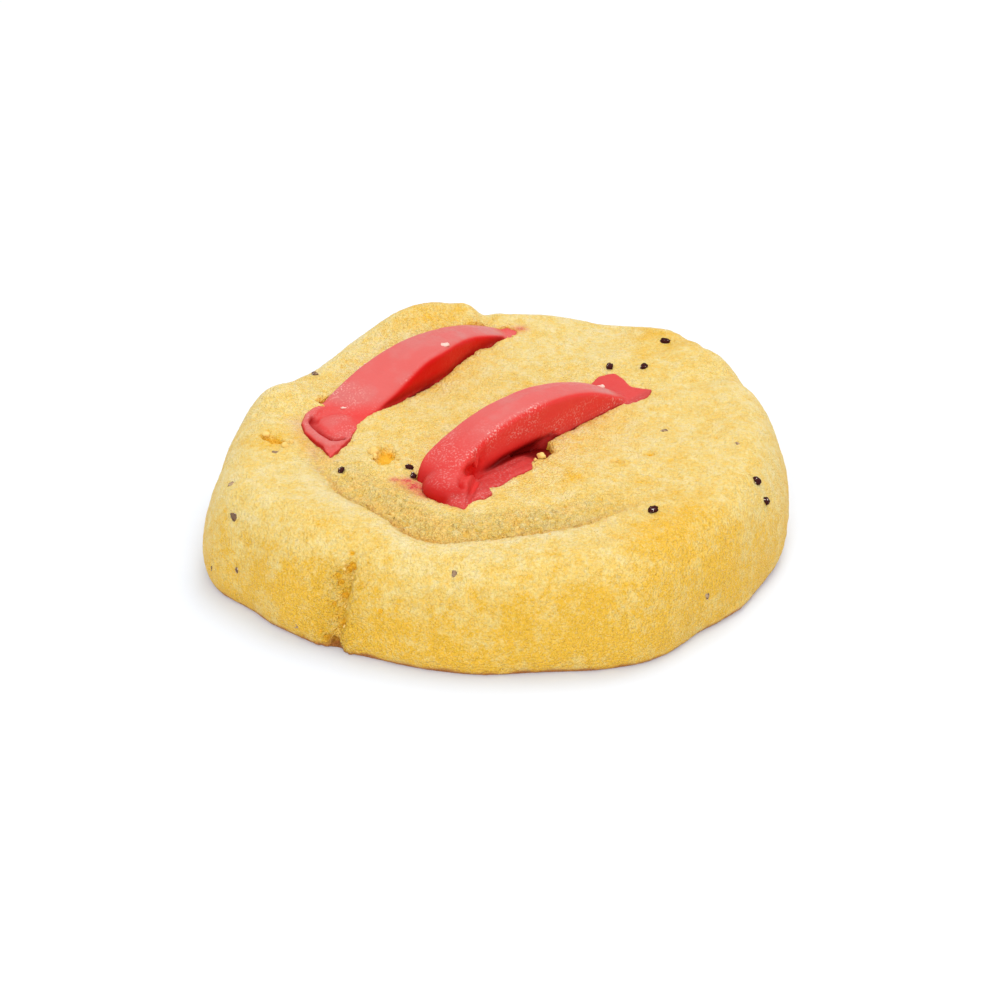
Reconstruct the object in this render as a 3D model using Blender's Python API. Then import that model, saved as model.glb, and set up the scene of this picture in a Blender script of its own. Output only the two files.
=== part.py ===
"""A thick, uneven round cookie with a raised rim, two arched strawberry pieces and poppy seeds.

+Z is up, +X is the right of the view and +Y points away from it. The origin is on the
ground below the middle of the cookie.
"""

import math

import bmesh
import bpy
from mathutils import Matrix, Vector, noise

MM = 0.001
GAP = 0.3

# Place of the origin among the bearings and radii below, so that it is in the middle of
# the whole cookie's box, in millimetres
MIDDLE = (-1.04, 0.87, 0)

# Cookie, in millimetres
COOKIE_RADIUS = 34.4
COOKIE_HEIGHT = 13.7
MIDDLE_HEIGHT = 13.1
WIDEST_HEIGHT = 3.2
CREST_INSET = 6.1
FOOT_TUCK = 1.0
WALL_ROUNDNESS = 2.2
RISE_POWER = 4

# Uneven rim seen from above: bearing and half width in degrees, then millimetres outward
RIM_LUMPS = (
    (58, 26, 4.5),
    (102, 8, 1.9),
    (144, 13, -2.0),
    (208, 18, 4.2),
    (213, 9, -1.7),
    (295, 12, 1.6),
    (337, 45, -1.0),
    (43, 3, -0.8),
)

# Uneven rim height: bearing and half width in degrees, then millimetres upward
CREST_LUMPS = (
    (113, 13, 2.9),
    (67, 11, -1.6),
    (163, 6, 1.2),
    (29, 4, -0.8),
    (49, 3, -0.6),
    (256, 34, -0.7),
    (318, 20, -0.4),
)

# Fold between the rim and the middle, round the front left
FOLD_RADIUS = 23.7
FOLD_SHIFTS = ((251, 13, 2.6), (302, 20, -0.9))
FOLD_BEARING = 252
FOLD_HALF_WIDTH = 52
FOLD_DEPTH = 1.0
FOLD_OUTER_WIDTH = 1.1
FOLD_INNER_WIDTH = 3.6

# Crack down the front-left wall: its bearing half way up, and the slant in degrees a millimetre
CRACK_BEARING = 236.5
CRACK_MID_HEIGHT = 7.0
CRACK_SLANT = 0.15
CRACK_HALF_WIDTH = 2.4
CRACK_DEPTH = 0.7

# Uneven foot: a tongue of dough at the front right and a hollow beside it
FOOT_LUMPS = ((322, 6, 0.6), (339, 7, -0.4))
FOOT_HEIGHT = 2.8

# Gentle lumps all over: their length and height, and how far the wall's differ from the top's
LUMP_LENGTH = 8.0
LUMP_HEIGHT = 0.35
WALL_LUMP_SHIFT = 40.0

# Rings of points over the cookie, then share of the radius and count of those under it
TOP_RINGS = 18
WALL_RINGS = 11
FOOT_RINGS = 3
EDGE_COUNT = 120
POINT_SPACING = 1.75
FEWEST_POINTS = 8
UNDER_RINGS = ((0.85, 60), (0.5, 24))

# Open pits: place of the centre, half sizes, bearing of the long side in degrees
PITS = (
    ((-14.5, -6.2, 13.2), (1.3, 1.1, 1.5), 20),
    ((-27.4, -3.4, 13.9), (2.3, 0.8, 1.0), -24),
    ((13.1, -7.6, 13.3), (0.8, 0.5, 0.8), 0),
    ((4.6, -4.9, 13.1), (1.3, 0.9, 1.4), 44),
    ((-17.7, -27.0, 10.9), (0.7, 0.8, 1.2), 57),
    ((-18.6, -28.3, 8.0), (0.6, 0.8, 1.3), 57),
    ((-19.9, -28.6, 1.2), (0.9, 1.0, 1.3), 55),
)
PIT_SEGMENTS = (8, 6)

# Strawberry pieces. "along" and "aside" are measured from the cookie's middle, along
# the piece and square to it, towards the front right.
PIECE_SINK = 3.6
CORNER_RADIUS = 1.1
TOP_BULGE = 0.25
PIECE_STATIONS = 26
CORNER_STEPS = 4
CORNER_SHARE = 0.45
THINNEST_END = 1.0
REAR_PIECE = {
    "name": "strawberry_rear",
    "bearing": 48.0,
    "aside": -18.3,
    "near": -13.5,
    "far": 20.8,
    "thickness": 6.4,
    "crown": 16.8,
    "crown_along": 3.6,
    "near_arc": 30.0,
    "far_arc": 36.0,
    "nose": 2.6,
    "near_flare": 0.4,
    "far_taper": 1.2,
    "front_drop": 0.9,
}
FRONT_PIECE = {
    "name": "strawberry_front",
    "bearing": 44.5,
    "aside": 2.6,
    "near": -16.3,
    "far": 20.0,
    "thickness": 5.0,
    "crown": 18.6,
    "crown_along": 1.0,
    "near_arc": 38.0,
    "far_arc": 27.0,
    "nose": 3.6,
    "near_flare": 1.5,
    "far_taper": 0.8,
    "front_drop": 0.0,
}

# Melted feet: along, aside and height of the centre, half sizes, and the bearing of the
# first half size
REAR_FEET = (
    ((-12.2, -16.7, 12.5), (5.0, 2.6, 1.9), 95),
    ((-14.6, -15.9, 12.5), (5.7, 2.6, 1.0), 98),
    ((20.2, -17.6, 12.7), (2.5, 1.8, 0.9), 40),
)
FRONT_FEET = (
    ((-13.9, 4.2, 12.7), (3.6, 3.3, 1.9), 44),
    ((-10.4, 6.8, 12.3), (5.8, 2.1, 1.1), 44),
    ((18.2, 1.0, 12.6), (3.6, 2.2, 1.0), -38),
    ((-17.5, 2.4, 12.6), (2.0, 1.0, 0.7), -46),
)
FOOT_SEGMENTS = (14, 8)

# Poppy seeds: half sizes, how far each stands out, turn from one to the next in degrees
SEED_HALF_SIZES = (0.62, 0.5, 0.42)
SEED_OUT = 0.12
SEED_TURN = 67
SEED_SEGMENTS = (6, 4)

# Steps over which a surface's slope is taken: in millimetres, degrees and turns of the wall
TOP_STEP = 0.3
BEARING_STEP = 0.4
TURN_STEP = 0.02
TURN_COUNT = 200

# Seeds on the top: bearing and radius
TOP_SEEDS = (
    (205.6, 21.6),
    (219.3, 15.1),
    (223.0, 16.3),
    (52.5, 20.7),
    (44.8, 23.7),
    (50.7, 31.2),
    (309.5, 25.9),
    (192.5, 28.0),
    (148.6, 27.7),
)
# Seeds on the wall: bearing and height
WALL_SEEDS = (
    (200.9, 12.6),
    (207.7, 10.7),
    (211.2, 5.0),
    (204.3, 3.2),
    (258.9, 11.6),
    (340.2, 12.0),
    (339.2, 9.9),
    (88.0, 7.6),
    (122.0, 9.5),
    (60.0, 6.0),
    (28.0, 8.4),
    (146.0, 5.2),
)


def bump(bearing, centre, half_width):
    """1 at the centre bearing, fading to nothing on both sides; all in degrees."""
    away = (bearing - centre + 180) % 360 - 180
    return math.exp(-((away / half_width) ** 2))


def summed(lumps, bearing):
    return sum(size * bump(bearing, centre, width) for centre, width, size in lumps)


def widest_radius(bearing):
    return COOKIE_RADIUS + summed(RIM_LUMPS, bearing)


def crest_radius(bearing):
    return widest_radius(bearing) - CREST_INSET


def crest_height(bearing):
    return COOKIE_HEIGHT + summed(CREST_LUMPS, bearing)


def lumpiness(x, y, z):
    return LUMP_HEIGHT * noise.noise(Vector((x, y, z)) / LUMP_LENGTH)


def fold_drop(bearing, radius):
    """How far the top sinks into the fold beside the rim."""
    away = radius - FOLD_RADIUS - summed(FOLD_SHIFTS, bearing)
    width = FOLD_OUTER_WIDTH if away > 0 else FOLD_INNER_WIDTH
    reach = math.exp(-((away / width) ** 2))
    turn = ((bearing - FOLD_BEARING + 180) % 360 - 180) / FOLD_HALF_WIDTH
    return FOLD_DEPTH * reach * math.exp(-(turn**4))


def top_height(x, y):
    """Height of the dough's top over a point of the plan."""
    bearing = math.degrees(math.atan2(y, x)) % 360
    radius = math.hypot(x, y)
    share = min(radius / crest_radius(bearing), 1.0)
    rise = (crest_height(bearing) - MIDDLE_HEIGHT) * share**RISE_POWER
    return MIDDLE_HEIGHT + rise - fold_drop(bearing, radius) + lumpiness(x, y, 0)


def crack_inset(bearing, height):
    middle = CRACK_BEARING + CRACK_SLANT * (height - CRACK_MID_HEIGHT)
    return CRACK_DEPTH * bump(bearing, middle, CRACK_HALF_WIDTH)


def wall_point(bearing, turn):
    """A point of the wall: turn is 0 at the crest, 1 at the widest and 2 at the ground."""
    wide = widest_radius(bearing)
    if turn <= 1:
        angle = turn * math.pi / 2
        power = 2 / WALL_ROUNDNESS
        radius = wide - CREST_INSET + CREST_INSET * math.sin(angle) ** power
        rise = crest_height(bearing) - WIDEST_HEIGHT
        height = WIDEST_HEIGHT + rise * max(math.cos(angle), 0) ** power
    else:
        angle = (turn - 1) * math.pi / 2
        radius = wide - FOOT_TUCK * (1 - math.cos(angle))
        height = WIDEST_HEIGHT * (1 - math.sin(angle))
    x = radius * math.cos(math.radians(bearing))
    y = radius * math.sin(math.radians(bearing))
    steep = math.sin(min(turn, 1) * math.pi / 2)
    radius -= steep * crack_inset(bearing, height)
    radius += summed(FOOT_LUMPS, bearing) / (1 + (height / FOOT_HEIGHT) ** 6)
    radius += steep * lumpiness(x, y, height + WALL_LUMP_SHIFT)
    height += (1 - steep) * lumpiness(x, y, 0)
    return polar(bearing, radius, height)


def polar(bearing, radius, height):
    angle = math.radians(bearing)
    return Vector((radius * math.cos(angle), radius * math.sin(angle), height))


def ring(count, point_at):
    """Points round a full turn, one for each equal step of bearing."""
    return [point_at(360 * step / count) for step in range(count)]


def top_ring(share):
    around = 2 * math.pi * share * (COOKIE_RADIUS - CREST_INSET)
    count = max(FEWEST_POINTS, round(around / POINT_SPACING))

    def point_at(bearing):
        flat = polar(bearing, share * crest_radius(bearing), 0)
        return Vector((flat.x, flat.y, top_height(flat.x, flat.y)))

    return ring(count, point_at)


def wall_ring(turn):
    return ring(EDGE_COUNT, lambda bearing: wall_point(bearing, turn))


def floor_ring(share, count):
    def point_at(bearing):
        return polar(bearing, share * (widest_radius(bearing) - FOOT_TUCK), 0)

    return ring(count, point_at)


def stitch(bm, inner, outer):
    """Triangles between two closed rings of vertices, whatever their counts."""
    a = b = 0
    while a < len(inner) or b < len(outer):
        inner_next = (a + 1) / len(inner) <= (b + 1) / len(outer)
        corner = inner[(a + 1) % len(inner)] if inner_next else outer[(b + 1) % len(outer)]
        bm.faces.new((inner[a % len(inner)], outer[b % len(outer)], corner))
        a += inner_next
        b += not inner_next


def fan(bm, centre, around):
    for a, b in zip(around, around[1:] + around[:1]):
        bm.faces.new((centre, a, b))


def object_of(bm, name):
    """Finishes a closed mesh as an object, still in millimetres."""
    bmesh.ops.triangulate(bm, faces=bm.faces)
    bmesh.ops.recalc_face_normals(bm, faces=bm.faces)
    mesh = bpy.data.meshes.new(name)
    bm.to_mesh(mesh)
    bm.free()
    made = bpy.data.objects.new(name, mesh)
    bpy.context.scene.collection.objects.link(made)
    return made


def dough_object():
    """The dough as rings of points: over the top, down the wall and under the foot."""
    rings = [top_ring(step / TOP_RINGS) for step in range(1, TOP_RINGS)]
    rings += [wall_ring(step / WALL_RINGS) for step in range(WALL_RINGS + 1)]
    rings += [wall_ring(1 + step / FOOT_RINGS) for step in range(1, FOOT_RINGS + 1)]
    rings += [floor_ring(share, count) for share, count in UNDER_RINGS]
    bm = bmesh.new()
    placed = [[bm.verts.new(point) for point in points] for points in rings]
    fan(bm, bm.verts.new((0, 0, top_height(0, 0))), placed[0])
    for inner, outer in zip(placed, placed[1:]):
        stitch(bm, inner, outer)
    fan(bm, bm.verts.new((0, 0, 0)), placed[-1])
    return object_of(bm, "dough")


def ellipsoid(name, centre, half_sizes, turn, steps):
    """A closed ellipsoid in millimetres: turn rotates its axes, steps go round and over it."""
    segments, rows = steps
    bm = bmesh.new()
    bmesh.ops.create_uvsphere(bm, u_segments=segments, v_segments=rows, radius=1)
    place = Matrix.Translation(centre) @ turn.to_4x4() @ Matrix.Diagonal((*half_sizes, 1))
    bmesh.ops.transform(bm, matrix=place, verts=bm.verts)
    return object_of(bm, name)


def piece_frame(piece):
    """Unit vectors along a strawberry piece and square to it, towards the front right."""
    angle = math.radians(piece["bearing"])
    return (
        Vector((math.cos(angle), math.sin(angle), 0)),
        Vector((math.sin(angle), -math.cos(angle), 0)),
    )


def piece_place(piece, along, aside, height):
    forward, square = piece_frame(piece)
    return forward * along + square * aside + Vector((0, 0, height))


def arch_height(piece, along):
    """Height of the piece's crown: two circular arcs, with a round nose at the near end."""
    away = along - piece["crown_along"]
    arc = piece["far_arc"] if away > 0 else piece["near_arc"]
    height = piece["crown"] - arc + math.sqrt(arc**2 - away**2)
    past = piece["near"] + piece["nose"] - along
    if past > 0:
        height -= piece["nose"] - math.sqrt(max(piece["nose"] ** 2 - past**2, 0))
    return height


def piece_section(piece, share, grow):
    """A cross-section's outline: up the rear side, over the crown and down the front side."""
    along = piece["near"] + (piece["far"] - piece["near"]) * share
    bottom = MIDDLE_HEIGHT - PIECE_SINK - grow
    rise = max(arch_height(piece, along) + grow - bottom, THINNEST_END + 2 * grow)
    nearness = max(piece["crown_along"] - along, 0) / (piece["crown_along"] - piece["near"])
    farness = max(along - piece["crown_along"], 0) / (piece["far"] - piece["crown_along"])
    wider = piece["near_flare"] * nearness**3
    half = (piece["thickness"] + wider - piece["far_taper"] * farness**3) / 2 + grow
    aside = piece["aside"] + wider / 2
    corner = min(CORNER_RADIUS, CORNER_SHARE * rise)
    outline = [(-half, 0)]
    for side in (-1, 1):
        for step in range(CORNER_STEPS + 1):
            angle = math.pi / 2 * (step if side < 0 else CORNER_STEPS - step) / CORNER_STEPS
            across = side * (half - corner + corner * math.cos(angle))
            outline.append((across, rise - corner * (1 - math.sin(angle))))
        if side < 0:
            outline.append((0, rise + TOP_BULGE))
    outline.append((half, 0))
    drop = piece["front_drop"] * nearness / max(rise, 2 * piece["front_drop"])
    moved = along + grow * (2 * share - 1)
    points = []
    for across, up in outline:
        lowered = up * (1 - drop * (across / half + 1) / 2)
        points.append(piece_place(piece, moved, aside + across, bottom + lowered))
    return points


def piece_object(piece, name, grow):
    """The arched slice as sections from its near end to its far end."""
    bm = bmesh.new()
    sections = []
    for step in range(PIECE_STATIONS + 1):
        share = step / PIECE_STATIONS
        eased = (1 - math.cos(math.pi * share)) / 2
        points = piece_section(piece, (share + eased) / 2, grow)
        sections.append([bm.verts.new(point) for point in points])
    for first, second in zip(sections, sections[1:]):
        for k in range(len(first)):
            after = (k + 1) % len(first)
            bm.faces.new((first[k], first[after], second[after], second[k]))
    bm.faces.new(sections[0])
    bm.faces.new(reversed(sections[-1]))
    return object_of(bm, name)


def feet_objects(piece, feet, name, grow):
    """The melted feet of a piece as flat ellipsoids."""
    made = []
    for (along, aside, height), half_sizes, bearing in feet:
        turn = Matrix.Rotation(math.radians(bearing), 3, "Z")
        centre = piece_place(piece, along, aside, height)
        grown = [size + grow for size in half_sizes]
        foot_name = f"{name}_foot_{len(made)}"
        made.append(ellipsoid(foot_name, centre, grown, turn, FOOT_SEGMENTS))
    return made


def collection_of(name, objects):
    collection = bpy.data.collections.new(name)
    for each in objects:
        collection.objects.link(each)
    return collection


def combine(target, others, operation):
    """Joins helpers to an object, or cuts them out of it, and removes them."""
    modifier = target.modifiers.new(operation.title(), "BOOLEAN")
    modifier.operation = operation
    modifier.solver = "EXACT"
    modifier.operand_type = "COLLECTION"
    modifier.collection = collection_of(operation, others)
    with bpy.context.temp_override(object=target, active_object=target):
        bpy.ops.object.modifier_apply(modifier=modifier.name)
    for helper in others:
        bpy.data.objects.remove(helper, do_unlink=True)
    bpy.data.collections.remove(bpy.data.collections[operation])


def whole_piece(piece, feet, name, grow):
    made = piece_object(piece, name, grow)
    combine(made, feet_objects(piece, feet, name, grow), "UNION")
    return made


def pit_cutters():
    for number, (centre, half_sizes, bearing) in enumerate(PITS):
        turn = Matrix.Rotation(math.radians(bearing), 3, "Z")
        yield ellipsoid(f"pit_{number}", centre, half_sizes, turn, PIT_SEGMENTS)


def seed_object(number, point, normal):
    """One poppy seed lying in the surface, turned its own way."""
    tilt = normal.to_track_quat("Z", "X").to_matrix()
    turn = tilt @ Matrix.Rotation(math.radians(SEED_TURN * number), 3, "Z")
    centre = point + normal * SEED_OUT
    return ellipsoid(f"seed_{number}", centre, SEED_HALF_SIZES, turn, SEED_SEGMENTS)


def surface_normal(point_at, a, b, step_a, step_b):
    """Outward normal of a surface given by two values."""
    across = point_at(a + step_a, b) - point_at(a - step_a, b)
    along = point_at(a, b + step_b) - point_at(a, b - step_b)
    return across.cross(along).normalized()


def seed_objects():
    def top_point(x, y):
        return Vector((x, y, top_height(x, y)))

    seeds = []
    for bearing, radius in TOP_SEEDS:
        flat = polar(bearing, radius, 0)
        normal = surface_normal(top_point, flat.x, flat.y, TOP_STEP, TOP_STEP)
        seeds.append(seed_object(len(seeds), top_point(flat.x, flat.y), normal))
    for bearing, height in WALL_SEEDS:
        turns = [step / TURN_COUNT for step in range(TURN_COUNT)]
        turn = min(turns, key=lambda t: abs(wall_point(bearing, t).z - height))
        normal = -surface_normal(wall_point, bearing, turn, BEARING_STEP, TURN_STEP)
        seeds.append(seed_object(len(seeds), wall_point(bearing, turn), normal))
    return seeds


def finish(made, surface):
    """Brings an object to metres about the origin, with its scale left at 1, and colours it."""
    made.data.transform(Matrix.Scale(MM, 4) @ Matrix.Translation(-Vector(MIDDLE)))
    made.data.shade_smooth()
    made.data.materials.clear()
    made.data.materials.append(surface)


def material(name, colour, roughness):
    made = bpy.data.materials.new(name)
    made.use_nodes = True
    shader = made.node_tree.nodes["Principled BSDF"]
    shader.inputs["Base Color"].default_value = (*colour, 1)
    shader.inputs["Roughness"].default_value = roughness
    shader.inputs["Metallic"].default_value = 0
    return made


def clear_scene():
    for old in list(bpy.data.objects):
        bpy.data.objects.remove(old, do_unlink=True)


def main():
    clear_scene()
    dough = dough_object()
    pieces = ((REAR_PIECE, REAR_FEET), (FRONT_PIECE, FRONT_FEET))
    for piece, feet in pieces:
        combine(dough, [whole_piece(piece, feet, "pocket", GAP)], "DIFFERENCE")
    combine(dough, list(pit_cutters()), "DIFFERENCE")
    combine(dough, seed_objects(), "UNION")
    finish(dough, material("baked_dough", (0.84, 0.58, 0.17), 0.62))
    for piece, feet in pieces:
        made = whole_piece(piece, feet, piece["name"], 0)
        finish(made, material(piece["name"] + "_red", (0.76, 0.08, 0.07), 0.42))


main()
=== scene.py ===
"""A baked strawberry cookie: an uneven round of dough with melted strawberry pieces and poppy seeds.

Shapes are worked out in millimetres, from bearings in degrees round the cookie and radii
from its middle, and are brought to metres about the origin as each piece is finished.
"""

import math

import bmesh
import bpy
import numpy as np
from bpy.props import FloatProperty, FloatVectorProperty, PointerProperty
from mathutils import Matrix, Vector, noise


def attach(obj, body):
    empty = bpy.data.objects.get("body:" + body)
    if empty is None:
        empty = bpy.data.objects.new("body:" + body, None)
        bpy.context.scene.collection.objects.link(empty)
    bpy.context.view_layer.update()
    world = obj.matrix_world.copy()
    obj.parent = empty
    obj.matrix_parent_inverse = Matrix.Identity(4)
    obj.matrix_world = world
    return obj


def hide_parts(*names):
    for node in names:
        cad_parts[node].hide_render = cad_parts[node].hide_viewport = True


bl_info = {
    "name": "Strawberry cookie",
    "version": (1, 0, 0),
    "blender": (4, 5, 0),
    "location": "3D View > Sidebar > Cookie",
    "description": "Builds a baked strawberry cookie with poppy seeds over its packed solids",
    "category": "Object",
}

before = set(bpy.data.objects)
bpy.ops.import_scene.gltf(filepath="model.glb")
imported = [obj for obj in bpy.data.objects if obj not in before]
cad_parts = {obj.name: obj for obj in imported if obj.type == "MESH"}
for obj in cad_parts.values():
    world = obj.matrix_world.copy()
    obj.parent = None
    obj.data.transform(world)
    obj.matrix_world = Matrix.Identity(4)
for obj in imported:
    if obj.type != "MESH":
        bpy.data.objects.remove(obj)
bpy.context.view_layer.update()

MM = 0.001
MIDDLE = (-1.04, 0.87, 0.0)

# Dough's outline: how its wall turns over, in millimetres
WIDEST_HEIGHT = 3.2
WALL_STRETCH = 1.15
CREST_INSET = 6.1
FOOT_TUCK = 1.0
WALL_ROUNDNESS = 2.2
RISE_POWER = 4

# Uneven rim seen from above: bearing and half width in degrees, then millimetres outward
RIM_LUMPS = (
    (58, 26, 4.5),
    (102, 8, 1.9),
    (144, 13, -2.0),
    (208, 18, 4.2),
    (213, 9, -1.7),
    (295, 12, 1.6),
    (337, 45, -1.0),
    (43, 3, -0.8),
)

# Uneven rim height: bearing and half width in degrees, then millimetres upward
CREST_LUMPS = (
    (113, 13, 2.9),
    (67, 11, -1.6),
    (163, 6, 1.2),
    (29, 4, -0.8),
    (49, 3, -0.6),
    (95.5, 2.2, -0.7),
    (99.5, 2.5, 0.35),
    (256, 34, -0.7),
    (318, 20, -0.4),
)

# Fold between the rim and the middle, round the front left
FOLD_RADIUS = 23.7
FOLD_SHIFTS = ((251, 13, 2.6), (302, 20, -0.9))
FOLD_BEARING = 252
FOLD_HALF_WIDTH = 52
FOLD_DEPTH = 1.0
FOLD_OUTER_WIDTH = 1.1
FOLD_INNER_WIDTH = 3.6
CREASE_DEPTH = 0.6
CREASE_WIDTH = 0.4

# Crack down the front-left wall
CRACK_BEARING = 236.5
CRACK_MID_HEIGHT = 7.0
CRACK_SLANT = 0.15
CRACK_HALF_WIDTH = 2.4
CRACK_DEPTH = 0.7
SPLIT_DEPTH = 0.45
SPLIT_HALF_WIDTH = 0.8

# Uneven foot: a tongue of dough at the front right and a hollow beside it
FOOT_LUMPS = ((234, 7, 0.7), (254, 16, 0.5), (341, 7, 0.5))
FOOT_HEIGHT = 2.8
TONGUE_BEARING = 322
TONGUE_HALF_WIDTH = 6
TONGUE_OUT = 0.35
TONGUE_HEIGHT = 1.6
TONGUE_EDGE = 0.4
HOLLOW_BEARING = 342
HOLLOW_HALF_WIDTH = 9
HOLLOW_DEPTH = 0.15
HOLLOW_HEIGHT = 4.5

# Lumps all over: the gentle ones, the puffs, the crumb and its rounded grains
LUMP_LENGTH = 8.0
LUMP_HEIGHT = 0.35
WALL_LUMP_SHIFT = 40.0
PUFF_LENGTH = 3.2
PUFF_HEIGHT = 0.1
CRUMB_LENGTH = 0.8
CRUMB_HEIGHT = 0.06
LUMPY_LENGTH = 1.0
LUMPY_HEIGHT = 0.16
LUMPY_CREASE = 0.22

# Open pits: place of the centre, half sizes in plan, bearing of the long side, depth
PITS = (
    ((-14.3, -6.1, 13.2), (2.6, 1.5), 84, 1.0),
    ((-27.4, -3.4, 13.9), (2.3, 0.8), -24, 0.8),
    ((13.1, -7.6, 13.3), (0.8, 0.5), 0, 0.6),
    ((16.7, -6.2, 13.3), (0.5, 0.35), 0, 0.35),
    ((6.5, -17.8, 13.1), (0.5, 0.35), 10, 0.3),
    ((-12.3, -21.0, 13.1), (0.7, 0.4), 30, 0.5),
    ((-8.9, -22.1, 13.0), (0.5, 0.4), 0, 0.5),
)
# The same on the wall: bearing, height, half size, depth
WALL_PITS = (
    (236.6, 11.6, 0.35, 0.2),
    (237.3, 10.4, 0.55, 0.4),
    (236.7, 9.9, 0.4, 0.35),
    (235.0, 9.1, 0.5, 0.3),
    (235.6, 8.4, 0.35, 0.25),
    (236.6, 6.9, 0.4, 0.3),
    (237.6, 7.6, 0.3, 0.2),
    (234.9, 5.6, 0.3, 0.2),
    (236.3, 3.4, 0.4, 0.25),
    (234.0, 1.5, 0.6, 0.6),
    (235.6, 1.0, 0.6, 0.7),
    (233.0, 2.2, 0.3, 0.35),
    (245.0, 6.6, 0.4, 0.2),
)
TINY_PITS = 260
TINY_PIT_SIZES = (0.22, 0.5)
TINY_PIT_DEPTH = 0.22

# Basin and crest on both sides of the fold, the crest paler as a painted highlight, and the rough
# dough beside the crack.
# The top turns to wall between the two heights, measured down from the middle.
TOP_ENDS = (3.5, 1.6)
BASIN_AWAY = 2.0
BASIN_HALF_WIDTH = 3.0
CREST_AWAY = 2.3
CREST_WIDTH = 1.6
BESIDE_SPLIT_WIDTH = 4.5

# Pockets under the strawberry, none of them farther from the cookie's middle than this.
# They clear an arched slice by a little, and end a little inside the melted sheets.
POCKET_REACH = 30.5
POCKET_DROP = 2.4
BODY_CLEARANCE = 0.15
SHEET_OVERLAP = 0.25
FINE_EDGE = 0.6
# Their uneven edge, as a shift, length and size of noise, its raised lip and its shoulder
EDGE_NOISE = ((2.2, 1.6, 0.22), (6.1, 0.55, 0.16))
LIP_HEIGHT = 0.22
LIP_AWAY = 0.8
LIP_WIDTH = 0.45
SHOULDER_DEPTH = 0.16
SHOULDER_WIDTH = 0.3

# Strawberry soaked into the dough: both ends of each smear, its width and strength
STAINS = (
    ((-13.4, -11.8, 13.2), (-11.8, -12.6, 13.2), 0.6, 0.9),
    ((-11.8, -12.6, 13.2), (-9.2, -15.2, 13.2), 1.1, 1.3),
    ((-8.6, -16.4, 13.2), (-5.6, -18.6, 13.2), 0.7, 0.35),
    ((-0.6, 26.4, 13.6), (1.8, 26.9, 13.6), 0.8, 0.8),
    ((-25.0, 2.0, 13.5), (-23.9, -2.6, 13.4), 1.4, 0.22),
    ((-23.9, -2.6, 13.4), (-21.5, -7.0, 13.2), 1.4, 0.22),
)
# Browned and pale patches: place of the centre, size and strength
GOLDEN_PATCHES = (
    ((-13.5, 26.5, 15.5), 4.0, 0.5),
    ((-7.0, 27.0, 16.3), 4.5, 0.9),
    ((19.2, 25.0, 13.7), 4.5, 1.1),
    ((16.0, -26.2, 10.5), 6.0, 0.9),
    ((21.5, -21.5, 10.5), 6.0, 0.75),
    ((-19.0, -25.0, 12.8), 5.0, 0.35),
    ((13.1, -7.6, 13.3), 1.0, 0.9),
    ((16.7, -6.2, 13.3), 0.8, 0.7),
    ((8.0, -12.0, 13.2), 1.2, 0.8),
    ((15.3, -11.8, 13.2), 1.0, 0.6),
    ((1.9, 11.3, 13.2), 1.6, 0.5),
    ((-27.6, -3.2, 13.8), 3.0, 0.7),
    ((-24.0, -20.0, 8.0), 6.0, 0.35),
    ((4.0, -33.0, 5.0), 8.0, 0.35),
)
PALE_PATCHES = (
    ((-26.0, 5.0, 14.0), 6.0, 0.2),
    ((-17.0, 22.0, 13.5), 7.0, 0.5),
    ((8.0, 28.0, 13.0), 9.0, 0.35),
    ((-26.0, -12.0, 12.0), 8.0, 0.25),
)
# Darker patch in the notch at the crack's foot: bearing, height, size and strength
DARK_NOTCH = (235.2, 0.9, 0.8, 1.1)

# Strawberry pieces. "along" and "aside" are measured from the cookie's middle, along
# the piece and square to it, towards the front right.
TOP_BULGE = 0.22
DROP_TURN = 4.0
REAR_PIECE = {
    "node": "strawberry_rear",
    "bearing": 48.0,
    "aside": -18.3,
    "near": -15.6,
    "far": 20.8,
    "thickness": 6.4,
    "crown": 16.8,
    "crown_along": 3.6,
    "near_arc": 30.0,
    "far_arc": 36.0,
    "nose": 2.6,
    "near_flare": 0.2,
    "far_taper": 1.8,
    "front_drop": 1.7,
    "corner": 0.9,
    "undercut": 0.5,
    "rounding": 2.6,
}
FRONT_PIECE = {
    "node": "strawberry_front",
    "bearing": 44.5,
    "aside": 2.6,
    "near": -16.9,
    "far": 20.0,
    "thickness": 5.0,
    "crown": 18.45,
    "crown_along": -0.8,
    "near_arc": 31.0,
    "far_arc": 30.0,
    "nose": 3.6,
    "near_flare": 2.2,
    "far_taper": 0.8,
    "front_drop": 0.0,
    "corner": 0.9,
    "undercut": 1.0,
    "rounding": 4.2,
}

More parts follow.
